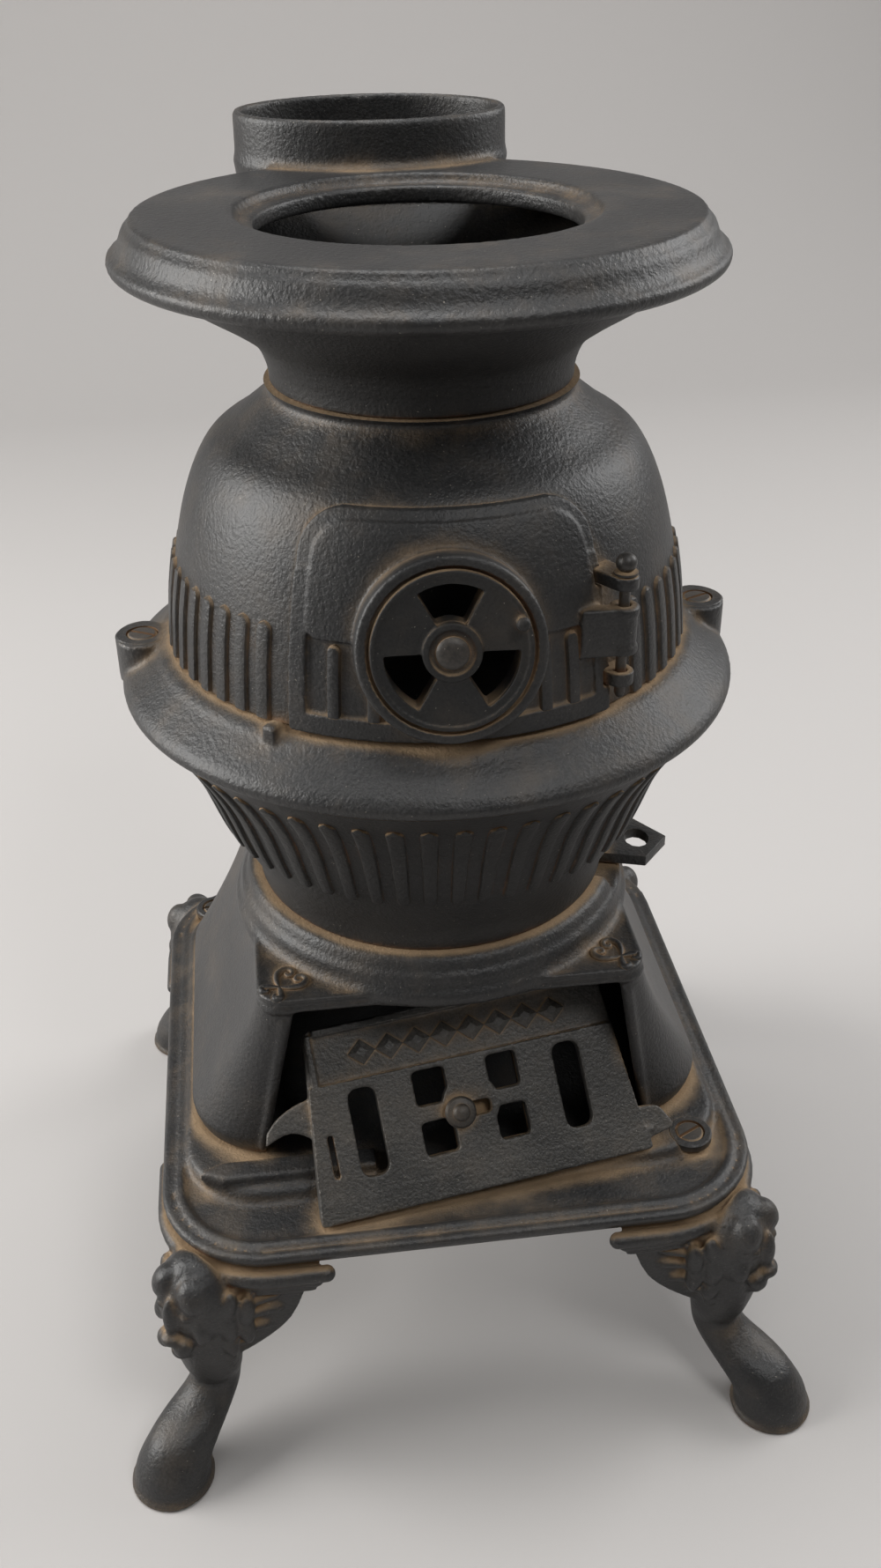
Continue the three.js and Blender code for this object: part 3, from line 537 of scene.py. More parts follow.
# %% A panel bent round the dome
def bent_panel(left, right, bottom, top, corner, inner, outer, columns=44, rows=40, lower_corner=0.0):
    """A panel between two azimuths in degrees, with round upper corners."""
    def place(u, v, radius):
        z = bottom + v * (top - bottom)
        rise = max(z - (top - corner), 0)
        dip = max(bottom + lower_corner - z, 0)
        drawn = corner - math.sqrt(max(corner**2 - rise**2, 0))
        drawn += lower_corner - math.sqrt(max(lower_corner**2 - dip**2, 0))
        half = math.radians((right - left) / 2) - drawn / radius_at(DOME, z)
        a = math.radians((left + right) / 2) + (2 * u - 1) * half
        return radius(z) * math.sin(a), -radius(z) * math.cos(a), z

    levels = [0.5 - 0.5 * math.cos(math.pi * j / rows) for j in range(rows + 1)]
    points = [
        place(i / columns, v, radius) for radius in (outer, inner) for v in levels for i in range(columns + 1)
    ]
    width = columns + 1
    layer = width * (rows + 1)
    faces = []
    for j in range(rows):
        for i in range(columns):
            a = j * width + i
            faces.append((a, a + 1, a + 1 + width, a + width))
            faces.append((layer + a, layer + a + width, layer + a + 1 + width, layer + a + 1))
    rim = [i for i in range(columns)] + [j * width + columns for j in range(rows)]
    rim += [rows * width + i for i in range(columns, 0, -1)] + [j * width for j in range(rows, 0, -1)]
    for k, a in enumerate(rim):
        b = rim[(k + 1) % len(rim)]
        faces.append((a, layer + a, layer + b, b))
    return points, faces


# %% Dome with its mouth and hinge lugs
HINGE = (39.3, -59.5)
LUGS = ((254.5, 257.7), (230.0, 233.5))


def hinge_eye(low, high, radius, reach=16.0):
    """A round eye on the hinge line with a web towards the dome."""
    inward = math.atan2(-HINGE[1], -HINGE[0])
    c, s = math.cos(inward), math.sin(inward)
    corners = [(0, radius), (reach, radius), (reach, -radius), (0, -radius)]
    web = [(HINGE[0] + c * u - s * v, HINGE[1] + s * u + c * v) for u, v in corners]
    bore = rod(1.6, low - 2, high + 2, 24, HINGE)
    ring = turned(eased([(0, low), (radius, low), (radius, high), (0, high)], 0.4, 2)[3:-1], 40, HINGE)
    return cut(ring, bore), cut(lofted([(low, web), (high, web)]), bore)


dome_body = turned(wall(DOME, 3.2), 220)
mouth = bent_panel(
    -31, 28.5, 227, 271, 6, lambda z: radius_at(DOME, z) - 9, lambda z: radius_at(DOME, z) + 6
)
dome = plain("dome_casting", cut(dome_body, mouth))
finish_piece(dome, "fire_dome")
core = turned([(0, 225)] + [(r - 1, z) for r, z in reversed(DOME) if 225 < z < 265] + [(0, 265)], 120)
lug_solids = [cut(solid, core) for low, high in LUGS for solid in hinge_eye(low, high, 3.2)]
lugs = casting("hinge_lugs", lug_solids, 0.3, 3)
finish_piece(lugs)

# %% Belly ring and its ears
RING_SECTION = eased([
    (64, 222.3), (68.2, 222.3), (70.4, 221.9), (72.4, 220.8), (73, 219.9), (81, 213.9), (82.7, 211.6),
    (82.3, 209.4), (81.4, 208.9), (77.6, 208.9), (77.6, 212), (71, 217), (64, 218.6),
], 0.5, 2)
EAR_X, EAR_Y = 76.5, 3.0


def ear(side, levels):
    """A lobe on the ring or the pot that carries a screw, from (height, radius, lean) levels."""
    return lofted([
        (z, oval(side * (EAR_X - lean), EAR_Y, radius, radius + 1.5)) for z, radius, lean in levels
    ])


def screw_room(x, y, face):
    """A bore for a screw, with a wide upper end for its head."""
    shank, head, floor = 2.2, 4.4, face - 2.4
    lowest, highest = face - 30, face + 3
    section = [(0, lowest), (shank, lowest), (shank, floor), (head, floor), (head, highest), (0, highest)]
    return turned(section, 40, (x, y))


def seat_rim(x, y, face, radius):
    """A crisp round edge about a screw's head."""
    inner, floor = 4.35, face - 2.3
    section = [(inner, floor), (radius, floor), (radius, face - 0.4), (radius - 0.5, face), (inner, face)]
    return turned(section, 48, (x, y))


ring_solids = [turned(RING_SECTION, 200)]
for side in (1, -1):
    ring_solids.append(ear(side, [(209.2, 7.2, 0), (221.2, 7.2, 0), (221.6, 6.9, 0)]))
    ring_solids.append(block(side * 66, side * 77, -3, 9, 212, 220.5))
stop_turn = Matrix.Rotation(math.radians(-37.5), 4, "Z")
ring_solids.append(moved(block(-1.8, 1.8, -73.6, -69, 219, 224.2), stop_turn))
ear_rooms = [screw_room(side * EAR_X, EAR_Y, 221.6) for side in (1, -1)]
ring_solids = [cut(solid, *ear_rooms) for solid in ring_solids]
belly_ring = casting("belly_ring_casting", ring_solids, 0.75, 3)
finish_piece(belly_ring, "belly_ring")
ear_rims = joined([seat_rim(side * EAR_X, EAR_Y, 221.7, 7.2) for side in (1, -1)])
finish_piece(plain("ear_rims", ear_rims))

# %% Fire pot
pot_body = turned(wall(POT, 3.4), 200)
inside_pot = turned([(0, 190)] + [(r - 1.5, z) for r, z in reversed(POT) if z > 190] + [(0, 208.5)], 100)
pot = plain("pot_casting", pot_body)
finish_piece(pot, "fire_pot", material=DEEP_IRON)
pot_ear_levels = [(198.8, 3.4, 5.5), (201.5, 5.6, 2.6), (208.3, 6.6, 0)]
pot_ears = casting("pot_ears", [cut(ear(side, pot_ear_levels), inside_pot) for side in (1, -1)], 0.6, 3)
finish_piece(pot_ears)

# %% [markdown]
# ## Ribs
# A rib repeats every few degrees. One rib is drawn as a stack of flat-topped sections that follow the
# wall, and a Geometry Nodes tree puts copies of it round the axis, so that the count and the pitch stay
# easy to change.

# %% The start and the end of a tree
def begin_tree(name, **inputs):
    """A Geometry Nodes tree with its named inputs, as a graph and a field for each input."""
    tree = bpy.data.node_groups.new(name, "GeometryNodeTree")
    tree.interface.new_socket("Geometry", in_out="INPUT", socket_type="NodeSocketGeometry")
    for label, kind in inputs.items():
        spoken = label.replace("_", " ").capitalize()
        tree.interface.new_socket(spoken, in_out="INPUT", socket_type=f"NodeSocket{kind}")
    tree.interface.new_socket("Geometry", in_out="OUTPUT", socket_type="NodeSocketGeometry")
    graph = Graph(tree)
    given = tree.nodes.new("NodeGroupInput")
    return graph, [Field(graph, given.outputs[i]) for i in range(len(inputs) + 1)]


def end_tree(graph, shape, material):
    """Makes the copies real, sets their material and gives the tree back."""
    real = graph.node("GeometryNodeRealizeInstances", None, {0: shape})
    dressed = graph.node("GeometryNodeSetMaterial", None, {"Geometry": real, "Material": material})
    output = graph.tree.nodes.new("NodeGroupOutput")
    graph.tree.links.new(dressed.socket, output.inputs[0])
    return graph.tree


def run_tree(obj, tree, **values):
    """Runs a tree on the object and keeps the result as its plain mesh."""
    modifier = obj.modifiers.new("tree", "NODES")
    modifier.node_group = tree
    inputs = [item for item in tree.interface.items_tree if item.in_out == "INPUT"]
    sockets = {item.name: item.identifier for item in inputs}
    for name, value in values.items():
        modifier[sockets[name.replace("_", " ").capitalize()]] = value
    baked(obj)
    print(obj.name, len(obj.data.polygons), "faces")
    return obj


# %% A tree that repeats a piece round the axis
def round_axis_tree(material):
    graph, (rib, count, first, pitch) = begin_tree(
        "round_the_axis", count="Int", first_angle="Float", pitch="Float"
    )
    line = graph.node("GeometryNodeMeshLine", {"mode": "OFFSET"}, {"Count": count, "Offset": (0, 0, 0)})
    angle = first + graph.node("GeometryNodeInputIndex") * pitch
    turn = graph.node("ShaderNodeCombineXYZ", None, {"Z": angle})
    inputs = {"Points": line, "Instance": rib, "Rotation": turn}
    return end_tree(graph, graph.node("GeometryNodeInstanceOnPoints", None, inputs), material)


RIB_TREE = round_axis_tree(BLACK_IRON)

# %% Ribs on the dome and the pot
RIB_SECTION = (
    (-1, -0.9), (-0.96, 0.3), (-0.8, 0.82), (-0.5, 1), (0.5, 1), (0.8, 0.82), (0.96, 0.3), (1, -0.9),
)


def rib(name, profile, high, low, width, proud, narrow=1.0, round_foot=False):
    """One flat-topped rib at azimuth 0, on the front of a turned wall, with a round upper end."""
    steps = 40
    sections = []
    for k in range(steps + 1):
        z = low + (high - low) * k / steps
        half = width / 2 * (1 + (narrow - 1) * (high - z) / (high - low))
        ends = [high - z] + ([z - low] if round_foot else [])
        share = min(1.0, min(ends) / half)
        full = math.sqrt(max(1 - (1 - share) ** 2, 0.015))
        lift = proud * min(1.0, 0.25 + 1.2 * full)
        outline = [(u * half * full, -(radius_at(profile, z) + v * lift)) for u, v in RIB_SECTION]
        sections.append((z, outline))
    return shaped(name, lofted(sections))


def ribs(one, first, last, pitch, body="stove", material=BLACK_IRON):
    """Copies of a rib from one azimuth to another, in degrees."""
    count = round((last - first) / pitch) + 1
    run_tree(one, RIB_TREE, count=count, first_angle=math.radians(first), pitch=math.radians(pitch))
    smooth(one, 40)
    return finish_piece(one, material=material, body=body)


ribs(rib("dome_ribs", DOME, 247, 223.1, 4.2, 1.1), 42.2, 318.2, 6)
ribs(rib("pot_ribs", POT, 200.5, 168, 4.8, 1.1, 0.72, True), 0, 353.4, 360 / 54, material=DEEP_IRON)

# %% [markdown]
# ## Feed door
# The door is a curved panel with round upper corners. A raised round seat on it carries the draft wheel,
# and a strap at its right edge ends in the knuckle that turns on the hinge pin. Its lower half carries
# the dome's ribs.

# %% Feed door casting
WHEEL_PLACE = (-2.5, -71.0, 247.3)
WHEEL_TURN = Euler((math.radians(79), 0, math.radians(-2)), "YXZ").to_matrix().to_4x4()
ONTO_DOOR = Matrix.Translation(WHEEL_PLACE) @ WHEEL_TURN
AIR_ANGLES = (90, 210, 330)


def disc(radius, low, high, ease):
    """A round plate about the Z axis with an eased upper edge."""
    section = [(0, low), (radius, low), (radius, high - ease), (radius - ease * 0.3, high - ease * 0.3),
               (radius - ease, high), (0, high)]
    return turned(section, 96)


def air_hole(middle, low, high):
    """A sector between two circles, as an upright cutter."""
    half, near, far = 29, 6.8, 15.4
    arc = [math.radians(middle - half + 2 * half * k / 12) for k in range(13)]
    outer = [(far * math.cos(a), far * math.sin(a)) for a in arc]
    inner = [(near * math.cos(a), near * math.sin(a)) for a in reversed(arc)]
    return lofted([(low, outer + inner), (high, outer + inner)])


def dome_room(gap):
    """The space inside and just outside the dome's wall."""
    levels = [(r + gap, z) for r, z in DOME]
    return turned([(0, 289)] + levels + [(0, 222.8)], 200)


air_cutters = [moved(air_hole(a, -30, 6), ONTO_DOOR) for a in AIR_ANGLES]
seat_pocket = moved(rod(19.3, 0, 8, 96), ONTO_DOOR)
pin_room = rod(1.6, 200, 300, 24, HINGE)
to_hinge = Matrix.Rotation(math.atan2(HINGE[1], HINGE[0]), 4, "Z")
to_hinge = Matrix.Translation((HINGE[0], HINGE[1], 0)) @ to_hinge
lug_rooms = []
for low, high in LUGS:
    lug_rooms.append(rod(3.9, low - 0.5, high + 0.5, 24, HINGE))
    lug_rooms.append(moved(block(-16, 0, -3.9, 3.9, low - 0.5, high + 0.5), to_hinge))


# %% The layers of the door's face
def door_layer(left, right, bottom, top, corner, proud, lower_corner=1.0):
    """A part of the face, so far proud of the dome."""
    return bent_panel(
        left, right, bottom, top, corner,
        lambda z: radius_at(DOME, z) + 0.4, lambda z: radius_at(DOME, z) + proud, lower_corner=lower_corner,
    )


panel = door_layer(-34.3, 31.8, 223.3, 274.8, 9, 1.5)
upper_pad = door_layer(-30.6, 29, 246.6, 272.6, 7.5, 2.95, 3)
margins = [
    door_layer(-34.3, -30.6, 223.3, 262, 1, 2.7),
    door_layer(28.2, 31.8, 223.3, 262, 1, 2.7),
    door_layer(-34.3, 31.8, 223.3, 228.4, 1, 2.7),
]
rim_piece = door_layer(-34.3, 31.8, 250, 274.8, 9, 2.3)
seat = cut(moved(disc(21.8, -9, 1.7, 0.8), ONTO_DOOR), dome_room(0.5), seat_pocket)
strap = block(HINGE[0] - 10.5, HINGE[0], HINGE[1] - 3, HINGE[1] + 0.9, 238.2, 250.3)
knuckle = turned(eased([(0, 238.1), (3.3, 238.1), (3.3, 250.4), (0, 250.4)], 0.5, 2)[3:-1], 40, HINGE)
collars = [rod(3.7, z - 0.9, z + 0.9, 40, HINGE) for z in (239.4, 249.1)]
face_solids = [panel, upper_pad, rim_piece, *margins]
door_solids = [cut(solid, *lug_rooms, *air_cutters, seat_pocket) for solid in face_solids]
door_solids += [cut(seat, *air_cutters), cut(strap, pin_room, dome_room(0.4))]
door_solids += [cut(solid, pin_room) for solid in (knuckle, *collars)]
feed_door = casting("feed_door_casting", door_solids, 0.42, 3)
finish_piece(feed_door, "feed_door", material=DOOR_IRON, body="feed_door")

# %% Ribs of the door, left and right of the wheel
DOOR_WALL = [(r + 1.4, z) for r, z in DOME]
for word, first, last, pitch in (("left", -24.8, -16.8, 8), ("right", 17, 23.2, 6.2)):
    one = rib(f"door_ribs_{word}", DOOR_WALL, 245.6, 228.2, 3.4, 1.4)
    ribs(one, first, last, pitch, "feed_door", DOOR_IRON)


# %% Draft wheel, its rivet and the hinge pin
hub = turned([(0, 1.8), (6.9, 1.8), (6.7, 2.6), (5.4, 2.7), (4.9, 2.1), (0, 2.1)], 48)
wheel_disc = cut(disc(18.6, 0.35, 1.9, 0.4), *[air_hole(a, -1, 4) for a in AIR_ANGLES])
knob = turned([(0, 1), (1.5, 1), (1.1, 2.8), (1.7, 4), (1.3, 5.1), (0, 5.5)], 24, (15.6, 6.2))
wheel_rim = turned([(17.2, 1.6), (18.5, 1.6), (18.4, 2.3), (17.4, 2.3)], 96)
wheel_solids = [moved(solid, ONTO_DOOR) for solid in (hub, wheel_disc, knob, wheel_rim)]
draft_wheel = casting("draft_wheel_casting", wheel_solids, 0.26, 2)
finish_piece(draft_wheel, "draft_wheel", material=DEEP_IRON, body="draft_wheel")
rivet_profile = [(0, 3.9), (2.2, 3.8), (3.3, 3.4), (3.8, 2.8), (3.8, 2.3), (1.3, 2.3), (1.3, -6.7),
                 (2.6, -6.7), (2, -8.2), (0, -8.2)]
rivet = plain("draft_rivet_head", moved(turned(rivet_profile, 40), ONTO_DOOR))
finish_piece(rivet, "draft_rivet", material=STEEL, body="feed_door", slot="dark_steel")
pin_profile = [(0, 226.5), (0.9, 226.5), (1.3, 227.5), (1.3, 257.8), (2.9, 258.1), (2.9, 258.6), (1.6, 258.9)]
pin_profile += [(2.5 * math.cos(a), 260.7 + 2.3 * math.sin(a)) for a in np.linspace(-0.9, math.pi / 2, 10)]
pin_profile[-1] = (0, 263)
hinge_pin = plain("hinge_pin_ball", turned(pin_profile, 32, HINGE))
finish_piece(hinge_pin, "hinge_pin", material=STEEL, slot="dark_steel")

# %% [markdown]
# ## Ash pit
# The pit is a square box that flares down to the base like a skirt. A round seat on its top takes the
# fire pot, two fine beads run round its shoulder, and cast scrolls fill the front corners beside the
# seat.

# %% Ash pit casting
PIT_TOP, PIT_WIDEST = 137.0, 86.0
TOP_HALF, FOOT_SIDE, FOOT_BACK = 53.3, 76.2, 70.0


def pit_level(z, shrink, steps=10):
    """A level section of the pit."""
    fall = min(max((PIT_TOP - z) / (PIT_TOP - PIT_WIDEST), 0), 1)
    flare = fall**1.35
    tuck = max(PIT_WIDEST - z, 0) ** 1.5 * 0.08
    half = TOP_HALF + (FOOT_SIDE - TOP_HALF) * flare - shrink - tuck
    back = TOP_HALF + (FOOT_BACK - TOP_HALF) * flare - shrink - tuck
    corner = 7 + 17 * flare - shrink / 2
    return z, round_corners(-half, half, -53.2 + shrink + tuck, back, corner, steps)


def mouth_outline():
    """The ash door's opening, as seen from the front."""
    foot, top, corner = 79.0, 133.7, 3.0
    left, right, half_foot = -44.4, 46.5, 55.5
    upper_right = [(right - corner + corner * math.cos(a), top - corner + corner * math.sin(a))
                   for a in np.linspace(0, math.pi / 2, 6)]
    upper_left = [(left + corner + corner * math.cos(a), top - corner + corner * math.sin(a))
                  for a in np.linspace(math.pi / 2, math.pi, 6)]
    return [(half_foot, foot), *upper_right, *upper_left, (-half_foot, foot)]


mouth_cutter = pushed(mouth_outline(), -58, -47)
pit_outside = lofted([pit_level(z, 0) for z in np.linspace(80.5, PIT_TOP, 22)])
pit_inside = lofted([pit_level(z, 3) for z in np.linspace(79, PIT_TOP - 3.5, 18)])
well = rod(46, 125, 150, 120)
gate_arc = [math.radians(a) for a in (-24.7, -14, -3.2, 7.6, 18.3)]
gate_outline = [(0, 0)] + [(64 * math.cos(a), 64 * math.sin(a)) for a in gate_arc]
gate = lofted([(z, gate_outline) for z in (142.5, 149)])
SEAT_SECTION = [(46, 133.5), (58.5, 133.5), (58.5, 137.2), (57, 139), (56.2, 142.6), (55, 143), (54.4, 145),
                (53, 147), (46, 147)]
seat_ring = cut(turned(eased(SEAT_SECTION, 0.6, 3), 180), gate)
pit_shell = cut(pit_outside, pit_inside, well, mouth_cutter)
beam = block(-5, 5, -49, 49, 130, 134)

# %% Beads and the finished pit
def bead(outline, z, radius, sides=10):
    """A round bead along a closed level outline."""
    path = [(x, y, z) for x, y in outline + outline[:2]]
    return swept(path, [radius] * len(path), sides)


def shoulder(half):
    return round_corners(-half, half, -half, half, 7, 8)


def pillar_edge(side):
    """A fine raised edge down each side of the mouth."""
    half = 48.0 if side > 0 else 46.0
    path = [(side * (half + (134 - z) * (56.8 - half) / 54), -53.3, z) for z in np.linspace(130, 83, 12)]
    return swept(path, [0.8] * len(path), 8)


pit_solids = [pit_shell, seat_ring, beam, bead(shoulder(53.0), 136.6, 0.9), bead(shoulder(53.6), 133.6, 0.8)]
pit_solids += [cut(pillar_edge(side), mouth_cutter) for side in (1, -1)]
ash_pit = casting("ash_pit_casting", pit_solids, 0.85, 3)
finish_piece(ash_pit, "ash_pit")

# %% [markdown]
# ## Scrolls
# A scroll is a line that winds up at its end. A few points give the line, and a tree turns it into a bead
# that thins towards its tips. The same tree serves every scroll on the pit's shoulder.

# %% A tree that makes a bead from a line
def bead_tree(material):
    graph, (line, radius) = begin_tree("bead_on_a_line", bead_radius="Float")
    curve = graph.node("GeometryNodeMeshToCurve", None, {0: line})
    along = graph.node("GeometryNodeSplineParameter")
    fullness = 0.45 + 0.55 * graph.math("SINE", along * math.pi)
    thick = graph.node("GeometryNodeSetCurveRadius", None, {"Curve": curve, "Radius": fullness})
    section = graph.node("GeometryNodeCurvePrimitiveCircle", None, {"Resolution": 10, "Radius": radius})
    inputs = {"Curve": thick, "Profile Curve": section, "Scale": fullness, "Fill Caps": True}
    return end_tree(graph, graph.node("GeometryNodeCurveToMesh", None, inputs), material)


# %% The scrolls of the two front corners
HEART = [
    (2.8, 0), (4.6, 2.6), (7, 4.3), (9.6, 3.9), (10.3, 2.2), (9.2, 0.9), (7.9, 1.5), (8.3, 2.6), (9, 2.3),
]
CURL = [(2.8, 0), (1.4, 2), (-0.2, 3.4), (-1.2, 2.4), (-0.4, 1.4), (0.5, 2)]


def corner_strokes(side):
    """The scrolls of one front corner, drawn inwards along its diagonal and mirrored across it."""
    start = np.array([side * 49.5, -49.5])
    inwards = np.array([-side, 1]) / math.sqrt(2)
    across = np.array([inwards[1], -inwards[0]])
    strokes = []
    for shape in (HEART, CURL):
        for hand in (1, -1):
            strokes.append([tuple(start + d * inwards + hand * w * across) for d, w in catmull(shape, 40)])
    return strokes


def line_object(name, lines, height):
    points, edges = [], []
    for line in lines:
        start = len(points)
        points += [(x * MM, y * MM, height * MM) for x, y in line]
        edges += [(start + i, start + i + 1) for i in range(len(line) - 1)]
    mesh = bpy.data.meshes.new(name)
    mesh.from_pydata(points, edges, [])
    return as_object(name, mesh)


BEAD_TREE = bead_tree(BLACK_IRON)
for side, word in ((1, "right"), (-1, "left")):
    scrolls = line_object(f"pit_scrolls_{word}", corner_strokes(side), 137.1)
    smooth(run_tree(scrolls, BEAD_TREE, bead_radius=1.1 * MM))
    finish_piece(scrolls)


# %% [markdown]
# ## Base plate
# The base is a flat plate with a rolled double bead round its rim and a raised deck that the pit stands
# on. A short bar on the deck keeps the ash door's foot from sliding in.

# %% Base plate casting
def base_outline(grow, steps=10):
    return round_corners(-85.5 - grow, 85.5 + grow, -88 - grow, 88 + grow, 30 + grow, steps)


def deck_outline(shrink, steps=10):
    return round_corners(shrink - 78, 78 - shrink, shrink - 66, 76 - shrink, 22 - shrink, steps)


hollow = block(-54, 54, -46, 46, 70, 76.4)
plate_levels = ((71.6, -3), (73, -1.2), (75.2, -1.0), (76.3, -2.4))
plate_body = cut(lofted([(z, base_outline(grow)) for z, grow in plate_levels]), hollow)
deck_levels = ((75.2, -1.8), (78.9, -0.3), (79.9, 0.8))
deck = cut(lofted([(z, deck_outline(shrink)) for z, shrink in deck_levels]), hollow)


def sill_outline(inset):
    front, back, right = -63 + inset, -55.6 - inset, -24.2
    return [(-74 + inset, -59.5), (-67.5, front), (right, front), (right, back), (-67.5, back)]


sill = lofted([(z, sill_outline(inset)) for z, inset in ((79, 0), (82.2, 0), (82.9, 0.8))])
DECK_SCREWS = ((68, -60), (-70, 72), (70, 72))
deck_rooms = [screw_room(x, y, 79.9) for x, y in DECK_SCREWS]
rim_beads = [bead(base_outline(-1.7), 75.6, 1.6, 12), bead(base_outline(-5.4), 76.6, 1.3, 12)]
base_solids = [cut(plate_body, *deck_rooms), cut(deck, *deck_rooms), *rim_beads, sill]
base_plate = casting("base_plate_casting", base_solids, 0.9, 3)
finish_piece(base_plate, "base_plate")
deck_rims = joined([seat_rim(x, y, 80.05, 6.4) for x, y in DECK_SCREWS])
finish_piece(plain("deck_rims", deck_rims))

# %% [markdown]
# ## Legs
# A leg hangs under each corner. It has a bracket whose mouldings wrap the corner, a lion's mask at the
# knee, leaves on both sides, a slim shank and a round foot. It is built up like clay, from pebbles and
# bars, and melted together.

# %% One leg
OUT = np.array([89.0, -95.5, 0]) / math.hypot(89, 95.5)
ASIDE = np.array([-OUT[1], OUT[0], 0])
FOOT_OUT = 130.5
LEG_LEVELS = [
    (0.3, FOOT_OUT, 10.8, 10.8), (3.4, 130.4, 10.9, 10.9), (8.5, 128.4, 11.2, 10.2),
    (16, 120.4, 13.6, 8.6), (21, 112.5, 9.6, 7.4), (26, 109.2, 7.4, 7.0), (32, 110, 8.4, 8.8),
    (42, 111, 9.4, 10), (53, 110.4, 9.6, 11), (61, 108.6, 9, 11.4), (67, 106.4, 6.6, 10.4), (71, 105, 5, 9),
]


def at_knee(out, aside, z):
    return tuple(OUT * out + ASIDE * aside + np.array([0, 0, z]))


def knee_pebble(out, aside, z, radii, roll=0.0):
    """An ellipsoid with its outward, sideways and upward radii; roll turns it as seen from the front."""
    c, s = math.cos(roll), math.sin(roll)
    up = np.array([0, 0, 1.0])
    return pebble(at_knee(out, aside, z), radii, (OUT, ASIDE * c + up * s, up * c - ASIDE * s))


# %% The mask and the leaves
LOCKS = (
    (111.6, 11, 61.5, 0.2), (112.2, 11, 54.5, 0), (111.8, 9.8, 48, -0.3),
    (111.4, 7.2, 43.4, -0.6), (107.6, 13.4, 57.5, 0.1), (107.6, 12.6, 51, -0.2),
)


def mask():
    """A lion's mask: brow, muzzle and jaw, with a mane of long locks round it."""
    parts = [
        knee_pebble(113.0, 0, 60, (10.0, 11.6, 15.5)),
        knee_pebble(122.0, 0, 60.5, (3.2, 2.3, 7.5)),
        knee_pebble(124.0, 0, 53.6, (2.6, 2.9, 2.0)),
        knee_pebble(120.4, 0, 45.8, (3.2, 3.3, 2.8)),
    ]
    for side in (1, -1):
        parts += [
            knee_pebble(117.6, side * 4.7, 67.6, (5.0, 4.6, 6.0), side * 0.3),
            knee_pebble(121.2, side * 4.4, 62.6, (1.8, 2.0, 1.3)),
            knee_pebble(122.4, side * 3.0, 50.8, (3.0, 3.0, 3.2), side * 0.2),
            knee_pebble(118.6, side * 7.2, 56.4, (3.0, 2.6, 5.0), side * 0.2),
        ]
        for out, aside, z, lean in LOCKS:
            parts.append(knee_pebble(out, side * aside, z, (2.8, 2.2, 6.2), -side * lean))
    return parts


LEAF_ENDS = ((70, 36, 2), (64, 41.5, 2.5), (58, 47, 3), (54, 53.5, 3), (54.5, 59, 2))


def leaves():
    """A fan of leaf lobes that opens from the neck along both wings."""
    parts = []
    for face in (0, 1):
        for k, (end_x, end_z, bow) in enumerate(LEAF_ENDS):
            start = (77.5, -84.6, 32.5 + 4.6 * k)
            middle = ((77.5 + end_x) / 2, -85.2, (start[2] + end_z) / 2 + bow)
            path = catmull([start, middle, (end_x, -84.4, end_z)], 16)
            if face:
                path = [(-y - 2.4, -x - 2.6, z) for x, y, z in path]
            radii = [0.6 + 1.1 * math.sin(math.pi * (0.1 + 0.78 * (t / 16) ** 1.3)) for t in range(17)]
            parts.append(swept(path, radii, 10))
            parts.append(pebble(path[-2], (1.4, 1.2, 1.4)))
    return parts


# %% Wings, mouldings and the whole leg
def wing(near, far):
    """The outline of the bracket's side, from its end to the knee."""
    edge = catmull([(near + 5, 60), (near + 11, 46.5), (far - 13, 35.5), (far, 31)], 10)
    return [(near, 71.1), (near + 3.6, 64.5), *edge, (far, 71.1)]


def corner_path(grow, start_x, end_y, z):
    """A line round the front right corner, under the rim."""
    x, y, corner = 85.5 + grow, 88 + grow, 30 + grow
    arc = [(x - corner + corner * math.cos(a), -(y - corner) + corner * math.sin(a), z)
           for a in np.linspace(-math.pi / 2, 0, 14)]
    return [(start_x, -y, z)] + arc + [(x, end_y, z)]


def leg_solids():
    outward = math.atan2(OUT[1], OUT[0])
    column = lofted([
        (z, oval(out * OUT[0], out * OUT[1], along, across, outward, 36))
        for z, out, along, across in catmull(LEG_LEVELS, 60)
    ])
    wing_points, wing_faces = pushed(wing(44, 79), -84.5, -80)
    side_wing = [(-y - 2.5, -x, z) for x, y, z in wing_points], wing_faces
    tab = block(58, 80, -81, -53, 65.4, 71.1)
    foot = (OUT[0] * FOOT_OUT, OUT[1] * FOOT_OUT)
    pad = turned([(0, 0.15), (11.5, 0.15), (11.9, 0.5), (11.9, 1.5), (11.2, 2.1), (0, 2.1)], 48, foot)
    mouldings = []
    for grow, z, radius, reach in ((-0.6, 68.6, 2.4, 40.6), (-2.6, 64.4, 2.0, 43.4), (-2.0, 61.9, 0.9, 44.4)):
        path = corner_path(grow, reach, -reach - 2, z)
        mouldings.append(swept(path, [radius] * len(path), 12))
        mouldings += [pebble(path[0], (radius, radius, radius)), pebble(path[-1], (radius, radius, radius))]
    return [column, pushed(wing(41.5, 79), -84, -79.5), side_wing, tab, pad, *mouldings, *mask(), *leaves()]


room_for_base = lofted([(z, base_outline(0.4)) for z in (71.2, 92)])
clear_of_base = [cut(solid, room_for_base) for solid in leg_solids()]
first_leg = casting("leg_model", clear_of_base, 0.62, 2)
CORNERS = {
    "leg_front_right": (1, 1),
    "leg_front_left": (-1, 1),
    "leg_back_right": (1, -1),
    "leg_back_left": (-1, -1),
}
for name, (side, end) in CORNERS.items():
    mesh = first_leg.data.copy()
    mesh.transform(Matrix.Diagonal((side, end, 1, 1)))
    if side * end < 0:
        mesh.flip_normals()
    finish_piece(as_object(f"{name}_casting", mesh), name)
bpy.data.objects.remove(first_leg)

